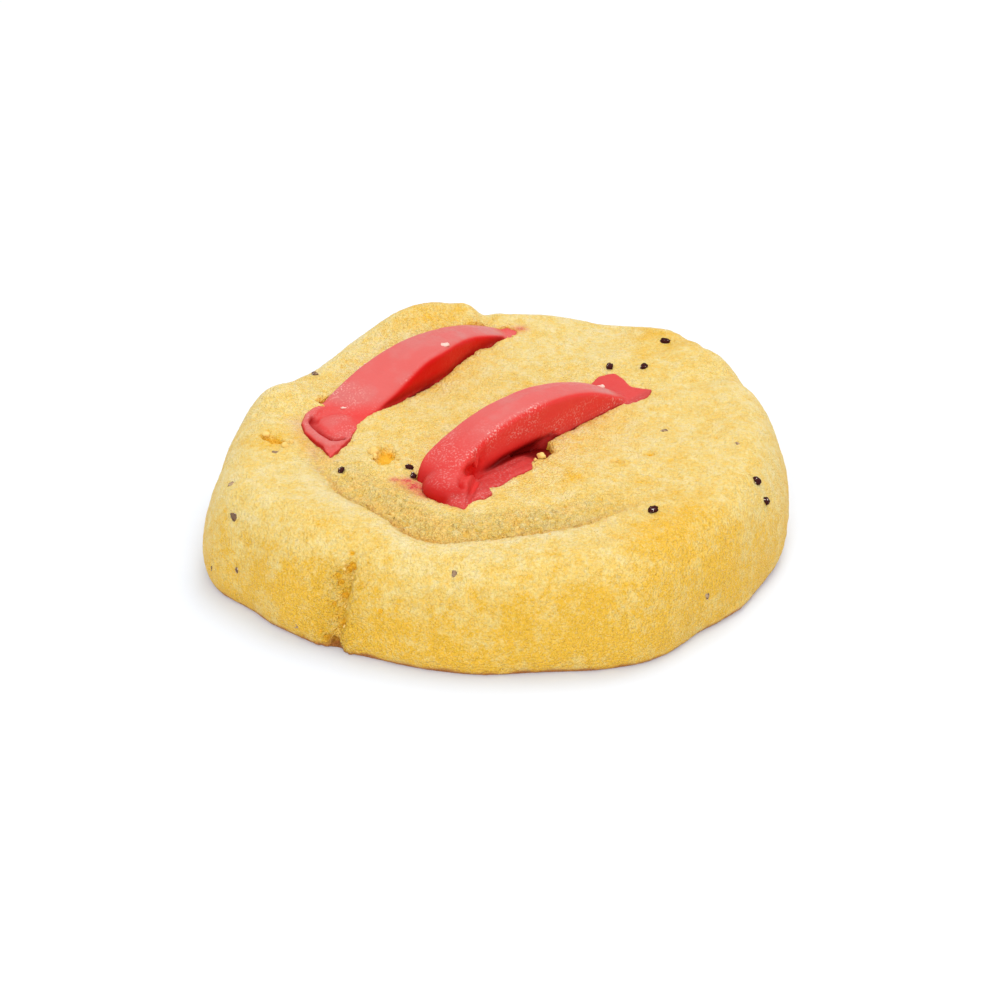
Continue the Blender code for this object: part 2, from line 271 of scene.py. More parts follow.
# Melted sheets beside the pieces: corners as along, aside and height of the top
REAR_LOBE = (
    (-7.5, -20.4, 13.0),
    (-10.8, -20.7, 13.3),
    (-13.0, -20.3, 13.4),
    (-15.1, -19.0, 13.5),
    (-16.5, -17.6, 13.5),
    (-17.4, -15.6, 13.5),
    (-17.9, -13.6, 13.4),
    (-18.8, -11.2, 13.2),
    (-16.7, -11.6, 13.3),
    (-14.1, -12.4, 13.3),
    (-12.8, -13.3, 13.2),
    (-8.0, -15.4, 12.8),
)
REAR_TIP = ((18.4, -20.0, 13.0), (21.0, -18.9, 13.2), (21.2, -16.6, 13.2), (18.4, -16.2, 13.2))
FRONT_SKIRT = (
    (-15.0, 4.6, 13.0),
    (-3.6, 4.6, 13.0),
    (1.6, 4.4, 12.0),
    (1.7, 5.7, 12.1),
    (0.8, 7.4, 12.2),
    (-0.8, 8.0, 12.2),
    (-1.9, 8.1, 12.3),
    (-2.4, 7.3, 12.7),
    (-3.2, 7.6, 12.9),
    (-4.6, 8.7, 13.2),
    (-6.6, 8.5, 13.2),
    (-8.2, 8.6, 13.2),
    (-9.8, 9.1, 13.3),
    (-11.6, 8.6, 13.3),
    (-12.4, 10.0, 13.6),
    (-13.8, 10.3, 13.6),
    (-15.3, 9.7, 13.6),
    (-17.1, 10.2, 13.3),
    (-17.3, 8.6, 13.1),
    (-17.9, 6.8, 12.6),
    (-17.9, 5.2, 12.3),
    (-17.4, 3.6, 12.3),
    (-16.2, 2.3, 12.3),
)
FRONT_TIP = (
    (15.3, -1.8, 12.9),
    (18.1, -2.4, 13.2),
    (19.8, -1.4, 13.4),
    (19.6, 0.4, 13.3),
    (19.0, 2.2, 13.2),
    (19.9, 4.8, 13.3),
    (18.4, 5.6, 13.2),
    (15.0, 5.2, 12.8),
)
SHEET_BOTTOM = 11.0
# Rounded beads on the sheets: along, aside, height and half size
REAR_LIP = (
    (-9.6, -20.7, 12.9, 0.7),
    (-11.4, -20.5, 13.0, 0.8),
    (-13.4, -19.8, 13.1, 0.85),
    (-15.2, -18.5, 13.15, 0.9),
    (-16.5, -16.6, 13.15, 0.9),
    (-17.1, -14.4, 13.1, 0.9),
    (-17.2, -12.9, 13.0, 0.9),
    (-16.0, -12.3, 13.0, 0.7),
    (-14.2, -12.9, 13.0, 0.6),
)
FRONT_DRIP = (
    (-11.9, 8.6, 12.8, 0.6),
    (-12.9, 9.1, 12.95, 0.8),
    (-14.0, 9.3, 12.95, 0.85),
    (-15.2, 9.0, 12.9, 0.8),
    (-16.3, 8.8, 12.8, 0.7),
    (-17.0, 8.0, 12.8, 0.6),
)
# Grooves where melted parts fold against each other, and the line where the front
# piece's drip begins: along, aside
REAR_GROOVE = (
    (-13.9, -18.7),
    (-14.9, -18.1),
    (-15.5, -16.9),
    (-15.9, -15.2),
    (-15.8, -13.6),
    (-15.0, -12.9),
)
FRONT_GROOVE = ((-10.1, 5.3), (-11.7, 5.9), (-13.2, 6.4), (-14.5, 7.0), (-15.0, 7.7))
FOLD_LINE = ((-15.3, 8.2), (-9.8, 4.6))

# Rounded near ends: along, aside, height, half sizes and the bearing of the longest
REAR_NOSE = ((-12.9, -16.6, 12.2, (3.9, 3.0, 1.5), 55),)
FRONT_NOSE = ((-14.4, 5.3, 13.1, (3.5, 3.4, 2.1), 44),)

# Relief of the strawberry: depth and width of the grooves, then the nick in the front
# piece as along, aside and height, its size and its depth
GROOVE_DEPTH = 0.55
GROOVE_WIDTH = 0.42
NICK = (-12.1, 6.3, 15.0)
NICK_SIZE = 0.4
NICK_DEPTH = 0.5

# Rounds of softening for the melted skin
SOFTEN_ROUNDS = 5

# Sections of an arched slice
SECTION_COUNT = 90
ARCH_BOTTOM = 9.5
CORNER_STEPS = 6
NOSE_NARROWING = 0.7
UNDERCUT_START = (-11, -5)
UNDERCUT_END = (2.5, 4.5)
UNDERCUT_HEIGHT = 3.2
# Rounded underside of the undercut, as shares of its depth: inward and upward
UNDERSIDE = ((0.05, 1.4), (0.4, 0.8), (1.0, 0.2))

# Poppy seeds: length, width and thickness as shares of the length
SEED_SLIMNESS = (1.0, 0.78, 0.62)
# Seeds on the top: bearing, radius and how far each stands out
TOP_SEEDS = (
    (205.6, 21.6, 0.16),
    (219.3, 14.9, 0.2),
    (225.5, 15.75, 0.14),
    (52.5, 20.7, 0.2),
    (44.8, 23.7, 0.1),
    (50.7, 31.2, 0.12),
    (309.5, 25.9, 0.2),
    (192.5, 28.0, -0.2),
    (148.6, 27.7, -0.25),
    (0.0, 18.6, -0.3),
    (350.5, 27.3, -0.3),
)
# Seeds on the wall: bearing, height and how far each stands out
WALL_SEEDS = (
    (200.9, 12.6, -0.3),
    (207.7, 10.7, -0.12),
    (211.2, 5.0, -0.27),
    (204.3, 3.2, -0.25),
    (227.7, 1.8, -0.31),
    (258.9, 11.6, -0.2),
    (312.2, 5.1, -0.28),
    (340.2, 12.0, 0.1),
    (339.2, 9.9, 0.1),
    (88.0, 7.6, 0.1),
    (122.0, 9.5, 0.1),
    (60.0, 6.0, 0.05),
    (34.0, 8.4, 0.05),
    (146.0, 5.2, 0.0),
    (170.0, 7.4, 0.05),
    (16.0, 4.0, -0.1),
)

# Crumbs that show: x, y and size
CRUMBS = (
    (-15.9, -5.5, 0.8),
    (-15.6, -6.6, 0.4),
    (-28.6, -2.2, 0.5),
    (-26.3, -4.6, 0.5),
    (-25.6, -3.6, 0.35),
    (3.9, -6.5, 0.5),
    (3.2, -7.3, 0.3),
    (12.3, -7.4, 0.35),
)
CRUMB_SINK = 0.08
# Scattered crumbs: how many, and the ranges that their places and sizes are drawn from
LOOSE_CRUMBS = 28
LOOSE_BEARINGS = (205, 305)
LOOSE_RADII = (15, 29)
LOOSE_SIZES = (0.14, 0.3)
SPLIT_CRUMBS = 7
SPLIT_HEIGHTS = (1.5, 12)
SPLIT_TURNS = (-1.8, 1.8)
SPLIT_SIZES = (0.15, 0.28)
# Pale flecks on the strawberry: their shape, then the place and size of each
FLECK_SHAPE = (1.7, 1.1, 0.7)
FLECKS = (
    (-7.7, 16.0, 16.75, 0.5),
    (11.3, 8.1, 14.9, 0.38),
    (-18.0, 12.2, 15.5, 0.22),
    (-17.3, 12.8, 15.6, 0.2),
    (-20.0, 5.1, 14.4, 0.22),
)

# Colours laid over the main ones
# Painted shade along the fold's crease
CREASE_SHADE_COLOUR = (0.66, 0.30, 0.045)
# Frosty grain on the strawberry, partly painted glints
FROST_AND_GLINT_COLOUR = (0.84, 0.50, 0.46)
# Painted shade: a deeper red in grooves, undercuts and sides turned down
DEEP_SHADE_COLOUR = (0.64, 0.002, 0.001)
SHADE_COLOUR = (0.14, 0.0, 0.0)
RIDGE_COLOUR = (0.065, 0.020, 0.02)
GLINT_COLOUR = (0.75, 0.66, 0.62)
FILM_COLOUR = (0.58, 0.40, 0.24)
FLECK_COLOUR = (0.80, 0.50, 0.42)
FLECK_LIGHT_COLOUR = (0.88, 0.70, 0.62)
FLOOR_CLOUD_COLOUR = (0.9, 0.9, 0.9)

# Height of each surface's fine bump, in metres
DOUGH_BUMP = 0.00056
STRAWBERRY_BUMP = 0.00006
SEED_BUMP = 0.00005

# Constants of each surface
DOUGH_SURFACE = {
    "Subsurface Weight": 0.12,
    "Subsurface Radius": (1.0, 0.6, 0.25),
    "Subsurface Scale": 0.0009,
    "Specular IOR Level": 0.4,
}
STRAWBERRY_SURFACE = {
    "Subsurface Weight": 0.15,
    "Subsurface Radius": (1.0, 0.25, 0.2),
    "Subsurface Scale": 0.0008,
    "Specular IOR Level": 0.12,
}
SEED_SURFACE = {"Specular IOR Level": 0.02}
FLOOR_SURFACE = {
    "Roughness": 0.9,
    "Specular IOR Level": 0.0,
    "Emission Color": (1.0, 1.0, 1.0, 1.0),
    "Emission Strength": 0.14,
}

# Floor, then each light's place and size in metres and its power in watts
FLOOR_HALF_SIZE = 2.0
LIGHTS = (
    ("key_light", (0.12, 0.19, 0.55), 0.35, 1.52),
    ("front_light", (-0.04, -0.52, 0.3), 0.5, 1.5),
)
AIR_COLOUR = (1.0, 1.0, 1.0, 1.0)
AIR_STRENGTH = 0.82

# Camera: degrees above the ground, metres, and millimetres of lens and sensor
CAMERA_ELEVATION = 28.96
CAMERA_DISTANCE = 0.4
CAMERA_TARGET = (0.00009, -0.00087, 0.007)
CAMERA_DROP = 0.00287
CAMERA_LENS = 119.95
CAMERA_SENSOR = 36
CAMERA_CLIP_START = 0.01


class CookieSettings(bpy.types.PropertyGroup):
    """Sizes and colours of the cookie that a user would change."""

    radius: FloatProperty(
        name="Radius",
        description="Radius of the dough at its widest, before its lumps",
        default=0.0344,
        min=0.02,
        unit="LENGTH",
    )
    rim_height: FloatProperty(
        name="Rim height",
        description="Height of the rim's crest, before its lumps",
        default=0.0137,
        min=0.005,
        unit="LENGTH",
    )
    middle_height: FloatProperty(
        name="Middle height",
        description="Height of the dough inside the rim",
        default=0.0131,
        min=0.005,
        unit="LENGTH",
    )
    dough_step: FloatProperty(
        name="Dough step",
        description="Distance between neighbouring points of the dough",
        default=0.00027,
        min=0.0002,
        unit="LENGTH",
    )
    piece_step: FloatProperty(
        name="Strawberry step",
        description="Distance between neighbouring points of a strawberry piece",
        default=0.00017,
        min=0.0001,
        unit="LENGTH",
    )
    seed_length: FloatProperty(
        name="Seed length",
        description="Length of a poppy seed",
        default=0.00116,
        min=0.0005,
        unit="LENGTH",
    )
    dough_colour: FloatVectorProperty(
        name="Dough",
        description="Colour of the pale baked dough",
        default=(0.84, 0.62, 0.19),
        min=0,
        max=1,
        subtype="COLOR",
    )
    # Also laid on as painted shade low on the wall and in the crumb's hollows
    golden_colour: FloatVectorProperty(
        name="Golden dough",
        description="Colour of the dough where it browned",
        default=(0.83, 0.475, 0.026),
        min=0,
        max=1,
        subtype="COLOR",
    )
    # Also laid along the rim's crest as a painted highlight
    pale_colour: FloatVectorProperty(
        name="Pale dough",
        description="Colour of the palest dough and of its light crumbs",
        default=(0.86, 0.71, 0.36),
        min=0,
        max=1,
        subtype="COLOR",
    )
    basin_colour: FloatVectorProperty(
        name="Basin",
        description="Colour of the rough dough inside the fold",
        default=(0.95, 0.62, 0.17),
        min=0,
        max=1,
        subtype="COLOR",
    )
    # Also laid on as painted shade where the dough drops into the pockets and in the creases between
    # crumbs
    pit_colour: FloatVectorProperty(
        name="Pits",
        description="Colour of the dough inside pits and cracks",
        default=(0.93, 0.50, 0.02),
        min=0,
        max=1,
        subtype="COLOR",
    )
    baked_colour: FloatVectorProperty(
        name="Baked edge",
        description="Colour of the browned edge along the ground",
        default=(0.45, 0.15, 0.02),
        min=0,
        max=1,
        subtype="COLOR",
    )
    strawberry_colour: FloatVectorProperty(
        name="Strawberry",
        description="Colour of the strawberry pieces",
        default=(0.70, 0.045, 0.04),
        min=0,
        max=1,
        subtype="COLOR",
    )
    # The bloom also stands for painted sheen on the tops, where they face the light
    bloom_and_sheen_colour: FloatVectorProperty(
        name="Strawberry bloom",
        description="Colour of the dusty bloom on the tops of the strawberry pieces",
        default=(0.57, 0.205, 0.19),
        min=0,
        max=1,
        subtype="COLOR",
    )
    seed_colour: FloatVectorProperty(
        name="Seeds",
        description="Colour of the poppy seeds",
        default=(0.045, 0.009, 0.010),
        min=0,
        max=1,
        subtype="COLOR",
    )
    floor_colour: FloatVectorProperty(
        name="Floor",
        description="Colour of the floor",
        default=(0.685, 0.73, 0.805),
        min=0,
        max=1,
        subtype="COLOR",
    )


def bump(bearing, centre, half_width):
    """1 at the centre bearing, fading to nothing on both sides; all in degrees."""
    away = (bearing - centre + 180) % 360 - 180
    return np.exp(-((away / half_width) ** 2))


def summed(lumps, bearing):
    return sum(size * bump(bearing, centre, width) for centre, width, size in lumps)


def noise_at(points, length, octaves=1):
    """Smooth noise at points in millimetres, with lumps about that long.

    A number that a caller adds to the points only picks another stretch of the noise.
    """
    scaled = (points / length).tolist()
    if octaves == 1:
        return np.array([noise.noise(point) for point in scaled])
    return np.array([noise.fractal(point, 1.0, 2.0, octaves) for point in scaled])


def lumpy_at(points, length):
    """Rounded crumbs with creases between them, from -1 to 1."""
    scaled = (points / length).tolist()
    nearest = np.array([noise.voronoi(point)[0][:2] for point in scaled])
    return 1 - 2 * np.exp(-(((nearest[:, 1] - nearest[:, 0]) / LUMPY_CREASE) ** 2))


def lumpiness(x, y, z):
    points = np.stack(np.broadcast_arrays(x, y, z), axis=-1).astype(float)
    return LUMP_HEIGHT * noise_at(points, LUMP_LENGTH)


def eased(value, low, high):
    """0 below low and 1 above high, with a smooth turn between them."""
    share = np.clip((value - low) / (high - low), 0, 1)
    return share * share * (3 - 2 * share)


def polar(bearing, radius, height):
    angle = np.radians(bearing)
    flat = np.broadcast_arrays(radius * np.cos(angle), radius * np.sin(angle), height)
    return np.stack(flat, axis=-1)


def bearing_of(points):
    return np.degrees(np.arctan2(points[:, 1], points[:, 0])) % 360


def fold_away(bearing, radius):
    """Millimetres outward from the bottom of the fold."""
    return radius - FOLD_RADIUS - summed(FOLD_SHIFTS, bearing)


def fold_presence(bearing):
    """1 along the fold, fading out at both ends."""
    turn = ((bearing - FOLD_BEARING + 180) % 360 - 180) / FOLD_HALF_WIDTH
    return np.exp(-(turn**4))


def fold_drop(bearing, radius):
    """How far the top sinks into the fold beside the rim."""
    away = fold_away(bearing, radius)
    width = np.where(away > 0, FOLD_OUTER_WIDTH, FOLD_INNER_WIDTH)
    return FOLD_DEPTH * np.exp(-((away / width) ** 2)) * fold_presence(bearing)


class DoughForm:
    """The dough's smooth outer form in millimetres."""

    def __init__(self, settings):
        self.radius = settings.radius / MM
        self.rim = settings.rim_height / MM
        self.middle = settings.middle_height / MM

    def widest_radius(self, bearing):
        return self.radius + summed(RIM_LUMPS, bearing)

    def crest_radius(self, bearing):
        return self.widest_radius(bearing) - CREST_INSET

    def crest_height(self, bearing):
        return self.rim + summed(CREST_LUMPS, bearing)

    def top_height(self, x, y):
        bearing = np.degrees(np.arctan2(y, x)) % 360
        radius = np.hypot(x, y)
        share = np.minimum(radius / self.crest_radius(bearing), 1)
        rise = (self.crest_height(bearing) - self.middle) * share**RISE_POWER
        return self.middle + rise - fold_drop(bearing, radius) + lumpiness(x, y, 0)

    def wall_points(self, bearing, turn):
        """Points of the wall: turn is 0 at the crest, 1 at the widest and 2 at the ground."""
        wide = self.widest_radius(bearing)
        if turn <= 1:
            angle = turn * math.pi / 2
            power = 2 / WALL_ROUNDNESS
            radius = wide - CREST_INSET + CREST_INSET * math.sin(angle) ** power
            rise = self.crest_height(bearing) - WIDEST_HEIGHT
            height = WIDEST_HEIGHT + rise * max(math.cos(angle), 0) ** power
        else:
            angle = (turn - 1) * math.pi / 2
            radius = wide - FOOT_TUCK * (1 - math.cos(angle))
            height = np.full_like(bearing, WIDEST_HEIGHT * (1 - math.sin(angle)))
        plain = polar(bearing, radius, height)
        x, y = plain[:, 0], plain[:, 1]
        steep = math.sin(min(turn, 1) * math.pi / 2)
        middle = CRACK_BEARING + CRACK_SLANT * (height - CRACK_MID_HEIGHT)
        radius = radius - steep * CRACK_DEPTH * bump(bearing, middle, CRACK_HALF_WIDTH)
        radius += summed(FOOT_LUMPS, bearing) / (1 + (height / FOOT_HEIGHT) ** 6)
        tongue = bump(bearing, TONGUE_BEARING, TONGUE_HALF_WIDTH)
        radius += TONGUE_OUT * tongue * (1 - eased(height, TONGUE_HEIGHT - TONGUE_EDGE, TONGUE_HEIGHT))
        hollow = HOLLOW_DEPTH * bump(bearing, HOLLOW_BEARING, HOLLOW_HALF_WIDTH)
        radius -= hollow * (1 - eased(height, 0, HOLLOW_HEIGHT))
        radius += 0.4 * hollow * np.exp(-(((height - HOLLOW_HEIGHT - 1) / 2) ** 2))
        radius += steep * lumpiness(x, y, height + WALL_LUMP_SHIFT)
        height = height + (1 - steep) * lumpiness(x, y, 0)
        return polar(bearing, radius, height)


def piece_plan(piece, along, aside):
    """Plan points of places given along and aside of a strawberry piece."""
    angle = math.radians(piece["bearing"])
    x = along * math.cos(angle) + aside * math.sin(angle)
    y = along * math.sin(angle) - aside * math.cos(angle)
    return np.stack(np.broadcast_arrays(x, y), axis=-1)


def piece_place(piece, along, aside, height):
    x, y = piece_plan(piece, along, aside)
    return (x, y, height)


def arch_height(piece, along):
    """Height of the piece's crown: two circular arcs, with a round nose at the near end."""
    away = along - piece["crown_along"]
    arc = np.where(away > 0, piece["far_arc"], piece["near_arc"])
    height = piece["crown"] - arc + np.sqrt(arc**2 - away**2)
    past = np.clip(piece["near"] + piece["nose"] - along, 0, piece["nose"])
    return height - piece["nose"] + np.sqrt(piece["nose"] ** 2 - past**2)


def piece_sides(piece, along):
    """Aside of the rear and of the front side."""
    crown = piece["crown_along"]
    nearness = np.maximum(crown - along, 0) / (crown - piece["near"])
    farness = np.maximum(along - crown, 0) / (piece["far"] - crown)
    wider = piece["near_flare"] * nearness**3
    narrower = piece["far_taper"] * eased(farness, 0, 0.6)
    rear = piece["aside"] - piece["thickness"] / 2
    return rear, rear + piece["thickness"] + wider - narrower


def body_outline(piece, level):
    """Plan outline of a strawberry piece where its arch stands over a level."""
    along = np.linspace(piece["near"], piece["far"], 60)
    along = along[arch_height(piece, along) > level]
    rear, front = piece_sides(piece, along)
    sides = (piece_plan(piece, along, rear), piece_plan(piece, along, front)[::-1])
    return np.concatenate(sides)


def sheet_outline(piece, corners):
    along, aside, _ = np.array(corners).T
    return piece_plan(piece, along, aside)


def distance_to(outline, points):
    """Distance from plan points to a closed outline, negative inside it."""
    nearest = np.full(len(points), np.inf)
    inside = np.zeros(len(points), bool)
    for start, end in zip(outline, np.roll(outline, -1, axis=0)):
        edge = end - start
        away = points - start
        share = np.clip(away @ edge / (edge @ edge), 0, 1)
        nearest = np.minimum(nearest, np.hypot(*(away - share[:, None] * edge).T))
        passes = (start[1] > points[:, 1]) != (end[1] > points[:, 1])
        crossing = start[0] + edge[0] * away[:, 1] / (edge[1] or 1)
        inside ^= passes & (points[:, 0] < crossing)
    return np.where(inside, -nearest, nearest)


def pocket_distance(points, settings):
    """Distance in plan from the edge of the nearest strawberry pocket, negative inside."""
    level = settings.middle_height / MM
    nearest = np.full(len(points), np.inf)
    reach = np.flatnonzero(
        (points[:, 2] > level - 4) & (np.hypot(points[:, 0], points[:, 1]) < POCKET_REACH)
    )
    nearest[reach] = near_pocket_distance(points[reach, :2], level)
    return nearest


def near_pocket_distance(plan, level):
    nearest = np.full(len(plan), np.inf)
    for piece in (REAR_PIECE, FRONT_PIECE):
        body = distance_to(body_outline(piece, level), plan) - BODY_CLEARANCE
        nearest = np.minimum(nearest, body)
    sheets = (
        (REAR_PIECE, REAR_LOBE),
        (REAR_PIECE, REAR_TIP),
        (FRONT_PIECE, FRONT_SKIRT),
        (FRONT_PIECE, FRONT_TIP),
    )
    for piece, corners in sheets:
        sheet = distance_to(sheet_outline(piece, corners), plan) + SHEET_OVERLAP
        nearest = np.minimum(nearest, sheet)
    return nearest


def stitched(first, inner, second, outer):
    """Triangles between two closed rings of points, given where each starts and its count."""
    faces = []
    a = b = 0
    while a < inner or b < outer:
        inner_next = (a + 1) * outer <= (b + 1) * inner
        corner = first + (a + 1) % inner if inner_next else second + (b + 1) % outer
        faces.append((first + a % inner, second + b % outer, corner))
        a += inner_next
        b += not inner_next
    return faces


def ring_bearings(count):
    return np.arange(count) * 360 / count


def dough_rings(form, step):
    """Rings of points: over the top, down the wall and under the foot."""
    crest = form.radius - CREST_INSET
    top_count = round(crest / step)
    edge_count = round(2 * math.pi * form.radius / step)
    wall_count = round(WALL_STRETCH * math.hypot(CREST_INSET, form.rim - WIDEST_HEIGHT) / step)
    foot_count = round(WIDEST_HEIGHT / step)
    rings = [polar(ring_bearings(1), 0.0, 0.0)]
    for k in range(1, top_count):
        bearings = ring_bearings(max(8, round(2 * math.pi * crest * k / top_count / step)))
        rings.append(polar(bearings, k / top_count * form.crest_radius(bearings), 0.0))
    for ring in rings:
        ring[:, 2] = form.top_height(ring[:, 0], ring[:, 1])
    bearings = ring_bearings(edge_count)
    rings += [form.wall_points(bearings, k / wall_count) for k in range(wall_count + 1)]
    rings += [form.wall_points(bearings, 1 + k / foot_count) for k in range(1, foot_count + 1)]
    for share, count in ((0.985, edge_count), (0.9, edge_count // 3), (0.55, 60), (0.0, 1)):
        under = ring_bearings(count)
        rings.append(polar(under, share * (form.widest_radius(under) - FOOT_TUCK), 0.0))
    return rings


def ring_faces(rings):
    faces = []
    start = 0
    for inner, outer in zip(rings, rings[1:]):
        after = start + len(inner)
        faces += stitched(start, len(inner), after, len(outer))
        start = after
    return [face for face in faces if len(set(face)) == 3]


def object_from(name, points, faces):
    """A mesh object, still in millimetres."""
    mesh = bpy.data.meshes.new(name)
    mesh.from_pydata(points.tolist(), [], faces)
    made = bpy.data.objects.new(name, mesh)
    bpy.context.scene.collection.objects.link(made)
    return made


def points_of(made):
    flat = np.empty(len(made.data.vertices) * 3)
    made.data.vertices.foreach_get("co", flat)
    return flat.reshape(-1, 3)


def normals_of(made):
    flat = np.empty(len(made.data.vertices) * 3)
    made.data.vertices.foreach_get("normal", flat)
    return flat.reshape(-1, 3)


def set_points(made, points):
    made.data.vertices.foreach_set("co", points.ravel())
    made.data.update()


def paint(made, name, values):
    """Keeps a mask from 0 to 1 on the mesh for its material."""
    kept = made.data.attributes.new(name, "FLOAT", "POINT")
    kept.data.foreach_set("value", np.clip(values, 0, 1).astype(np.float32))


def refine(made, wanted):
    """Splits the edges whose ends are both wanted, so that fine relief has points to stand on."""
    bm = bmesh.new()
    bm.from_mesh(made.data)
    bm.verts.ensure_lookup_table()
    edges = [edge for edge in bm.edges if all(wanted[vert.index] for vert in edge.verts)]
    bmesh.ops.subdivide_edges(bm, edges=edges, cuts=1, use_grid_fill=True)
    bmesh.ops.triangulate(bm, faces=bm.faces)
    bm.to_mesh(made.data)
    bm.free()


def wall_site(form, bearing, height):
    """Point of the wall at a height, and the outward normal there."""
    place = np.array([bearing, bearing + 0.5])
    high, low = 0.0, 2.0
    for _ in range(12):
        turn = (high + low) / 2
        if form.wall_points(place, turn)[0, 2] > height:
            high = turn
        else:
            low = turn
    point, beside = form.wall_points(place, turn)
    below = form.wall_points(place, turn + 0.02)[0]
    normal = np.cross(below - point, beside - point)
    return point, normal / np.linalg.norm(normal)


def pit_places(form):
    """Centre, long direction, half sizes and depth of every named pit."""
    for centre, sizes, bearing, depth in PITS:
        yield np.array(centre), bearing, sizes, depth
    for bearing, height, size, depth in WALL_PITS:
        yield wall_site(form, bearing, height)[0], 0, (size, size), depth


def pit_relief(points, form):
    """Depth and presence of the pits at each point."""
    depth = np.zeros(len(points))
    presence = np.zeros(len(points))
    rough = 1 + 0.35 * noise_at(points + 7.7, 0.9) + 0.3 * noise_at(points + 2.6, 0.4)
    for centre, bearing, (long, short), deep in pit_places(form):
        close = np.flatnonzero(np.abs(points - centre).max(axis=1) < 2.5 * long)
        away = points[close] - centre
        angle = math.radians(bearing)
        lengthwise = away[:, 0] * math.cos(angle) + away[:, 1] * math.sin(angle)
        across = np.sqrt(np.maximum((away**2).sum(axis=1) - lengthwise**2, 0))
        far = np.hypot(lengthwise / long, across / short) * rough[close]
        inside = 1 - eased(far, 0.45, 1.0)
        depth[close] = np.maximum(depth[close], deep * inside)
        presence[close] = np.maximum(presence[close], inside)
    return depth, presence


def tiny_pits(points, rough_zone, randoms):
    """Small holes all over, more of them where the dough is rough."""
    depth = np.zeros(len(points))
    chances = 0.15 + rough_zone
    centres = randoms.choice(len(points), TINY_PITS, replace=False, p=chances / chances.sum())
    for centre in centres:
        size = randoms.uniform(*TINY_PIT_SIZES)
        close = np.flatnonzero(np.abs(points - points[centre]).max(axis=1) < 2 * size)
        far = np.linalg.norm(points[close] - points[centre], axis=1) / size
        hole = TINY_PIT_DEPTH * (size / TINY_PIT_SIZES[1]) * (1 - eased(far, 0.4, 1.1))
        depth[close] = np.maximum(depth[close], hole)
    return depth


def finish(made, name, surface):
    """Brings a piece to metres about the origin, colours it and puts it on the cookie."""
    made.data.transform(Matrix.Scale(MM, 4) @ Matrix.Translation(-Vector(MIDDLE)))
    made.data.shade_smooth()
    made.data.materials.clear()
    made.data.materials.append(surface)
    made.name = name
    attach(made, "root")


class Graph:
    """Adds nodes to a node tree and joins them."""

    def __init__(self, tree):
        self.tree = tree

    def add(self, kind, inputs=(), **settings):
        node = self.tree.nodes.new(kind)
        for name, value in settings.items():
            setattr(node, name, value)
        for key, value in dict(inputs).items():
            self.feed(node.inputs[key], value)
        return node

    def feed(self, socket, value):
        """Links a socket or gives it a constant; a colour is made opaque."""
        if isinstance(value, bpy.types.NodeSocket):
            self.tree.links.new(value, socket)
        elif socket.type == "RGBA":
            socket.default_value = (*value, 1.0)
        else:
            socket.default_value = value

    def place(self):
        return self.add("ShaderNodeTexCoord").outputs["Object"]

    def math(self, operation, first, second):
        inputs = {0: first, 1: second}
        return self.add("ShaderNodeMath", inputs, operation=operation).outputs[0]

    def plus(self, first, second):
        return self.math("ADD", first, second)

    def less(self, first, second):
        return self.math("SUBTRACT", first, second)

    def times(self, first, second):
        return self.math("MULTIPLY", first, second)

    def blend(self, value, low, high, to_low=0.0, to_high=1.0, turn="LINEAR"):
        """Maps low and high to two other values, straight between them and flat beyond."""
        inputs = {0: value, 1: low, 2: high, 3: to_low, 4: to_high}
        return self.add("ShaderNodeMapRange", inputs, interpolation_type=turn).outputs[0]

    def ramp(self, value, low, high, to_low=0.0, to_high=1.0):
        """The same with smooth turns."""
        return self.blend(value, low, high, to_low, to_high, "SMOOTHSTEP")

    def mix(self, share, first, second):
        inputs = {0: share, 6: first, 7: second}
        return self.add("ShaderNodeMix", inputs, data_type="RGBA").outputs[2]

    def layered(self, colour, *layers):
        """A colour with others laid over it, each by its mask."""
        for share, over in layers:
            colour = self.mix(share, colour, over)
        return colour

    def mask(self, name):
        return self.add("ShaderNodeAttribute", attribute_name=name).outputs["Fac"]

    def noise(self, place, scale, detail=2.0, roughness=0.5):
        inputs = {"Vector": place, "Scale": scale, "Detail": detail, "Roughness": roughness}
        return self.add("ShaderNodeTexNoise", inputs).outputs["Fac"]

    def cells(self, place, scale, feature="F1"):
        inputs = {"Vector": place, "Scale": scale}
        return self.add("ShaderNodeTexVoronoi", inputs, feature=feature).outputs["Distance"]

    def group(self, tree, **values):
        """Places a node group and gives its outputs."""
        node = self.add("ShaderNodeGroup", node_tree=tree)
        for name, value in values.items():
            self.feed(node.inputs[name], value)
        return node.outputs

    def bump(self, height, strength, distance):
        inputs = {"Height": height, "Strength": strength, "Distance": distance}
        return self.add("ShaderNodeBump", inputs).outputs["Normal"]

    def dress(self, shader, **looks):
        """Feeds a shader's sockets, named in small letters with low lines for gaps."""
        for name, value in looks.items():
            self.feed(shader.inputs[name.replace("_", " ").title()], value)


def new_group(name, inputs, outputs):
    """An empty shader node group and its input and output nodes."""
    tree = bpy.data.node_groups.new(name, "ShaderNodeTree")
    for label, default in inputs:
        socket = tree.interface.new_socket(label, in_out="INPUT", socket_type="NodeSocketFloat")
        socket.default_value = default
    for label in outputs:
        tree.interface.new_socket(label, in_out="OUTPUT", socket_type="NodeSocketFloat")
    graph = Graph(tree)
    return graph, graph.add("NodeGroupInput"), graph.add("NodeGroupOutput")


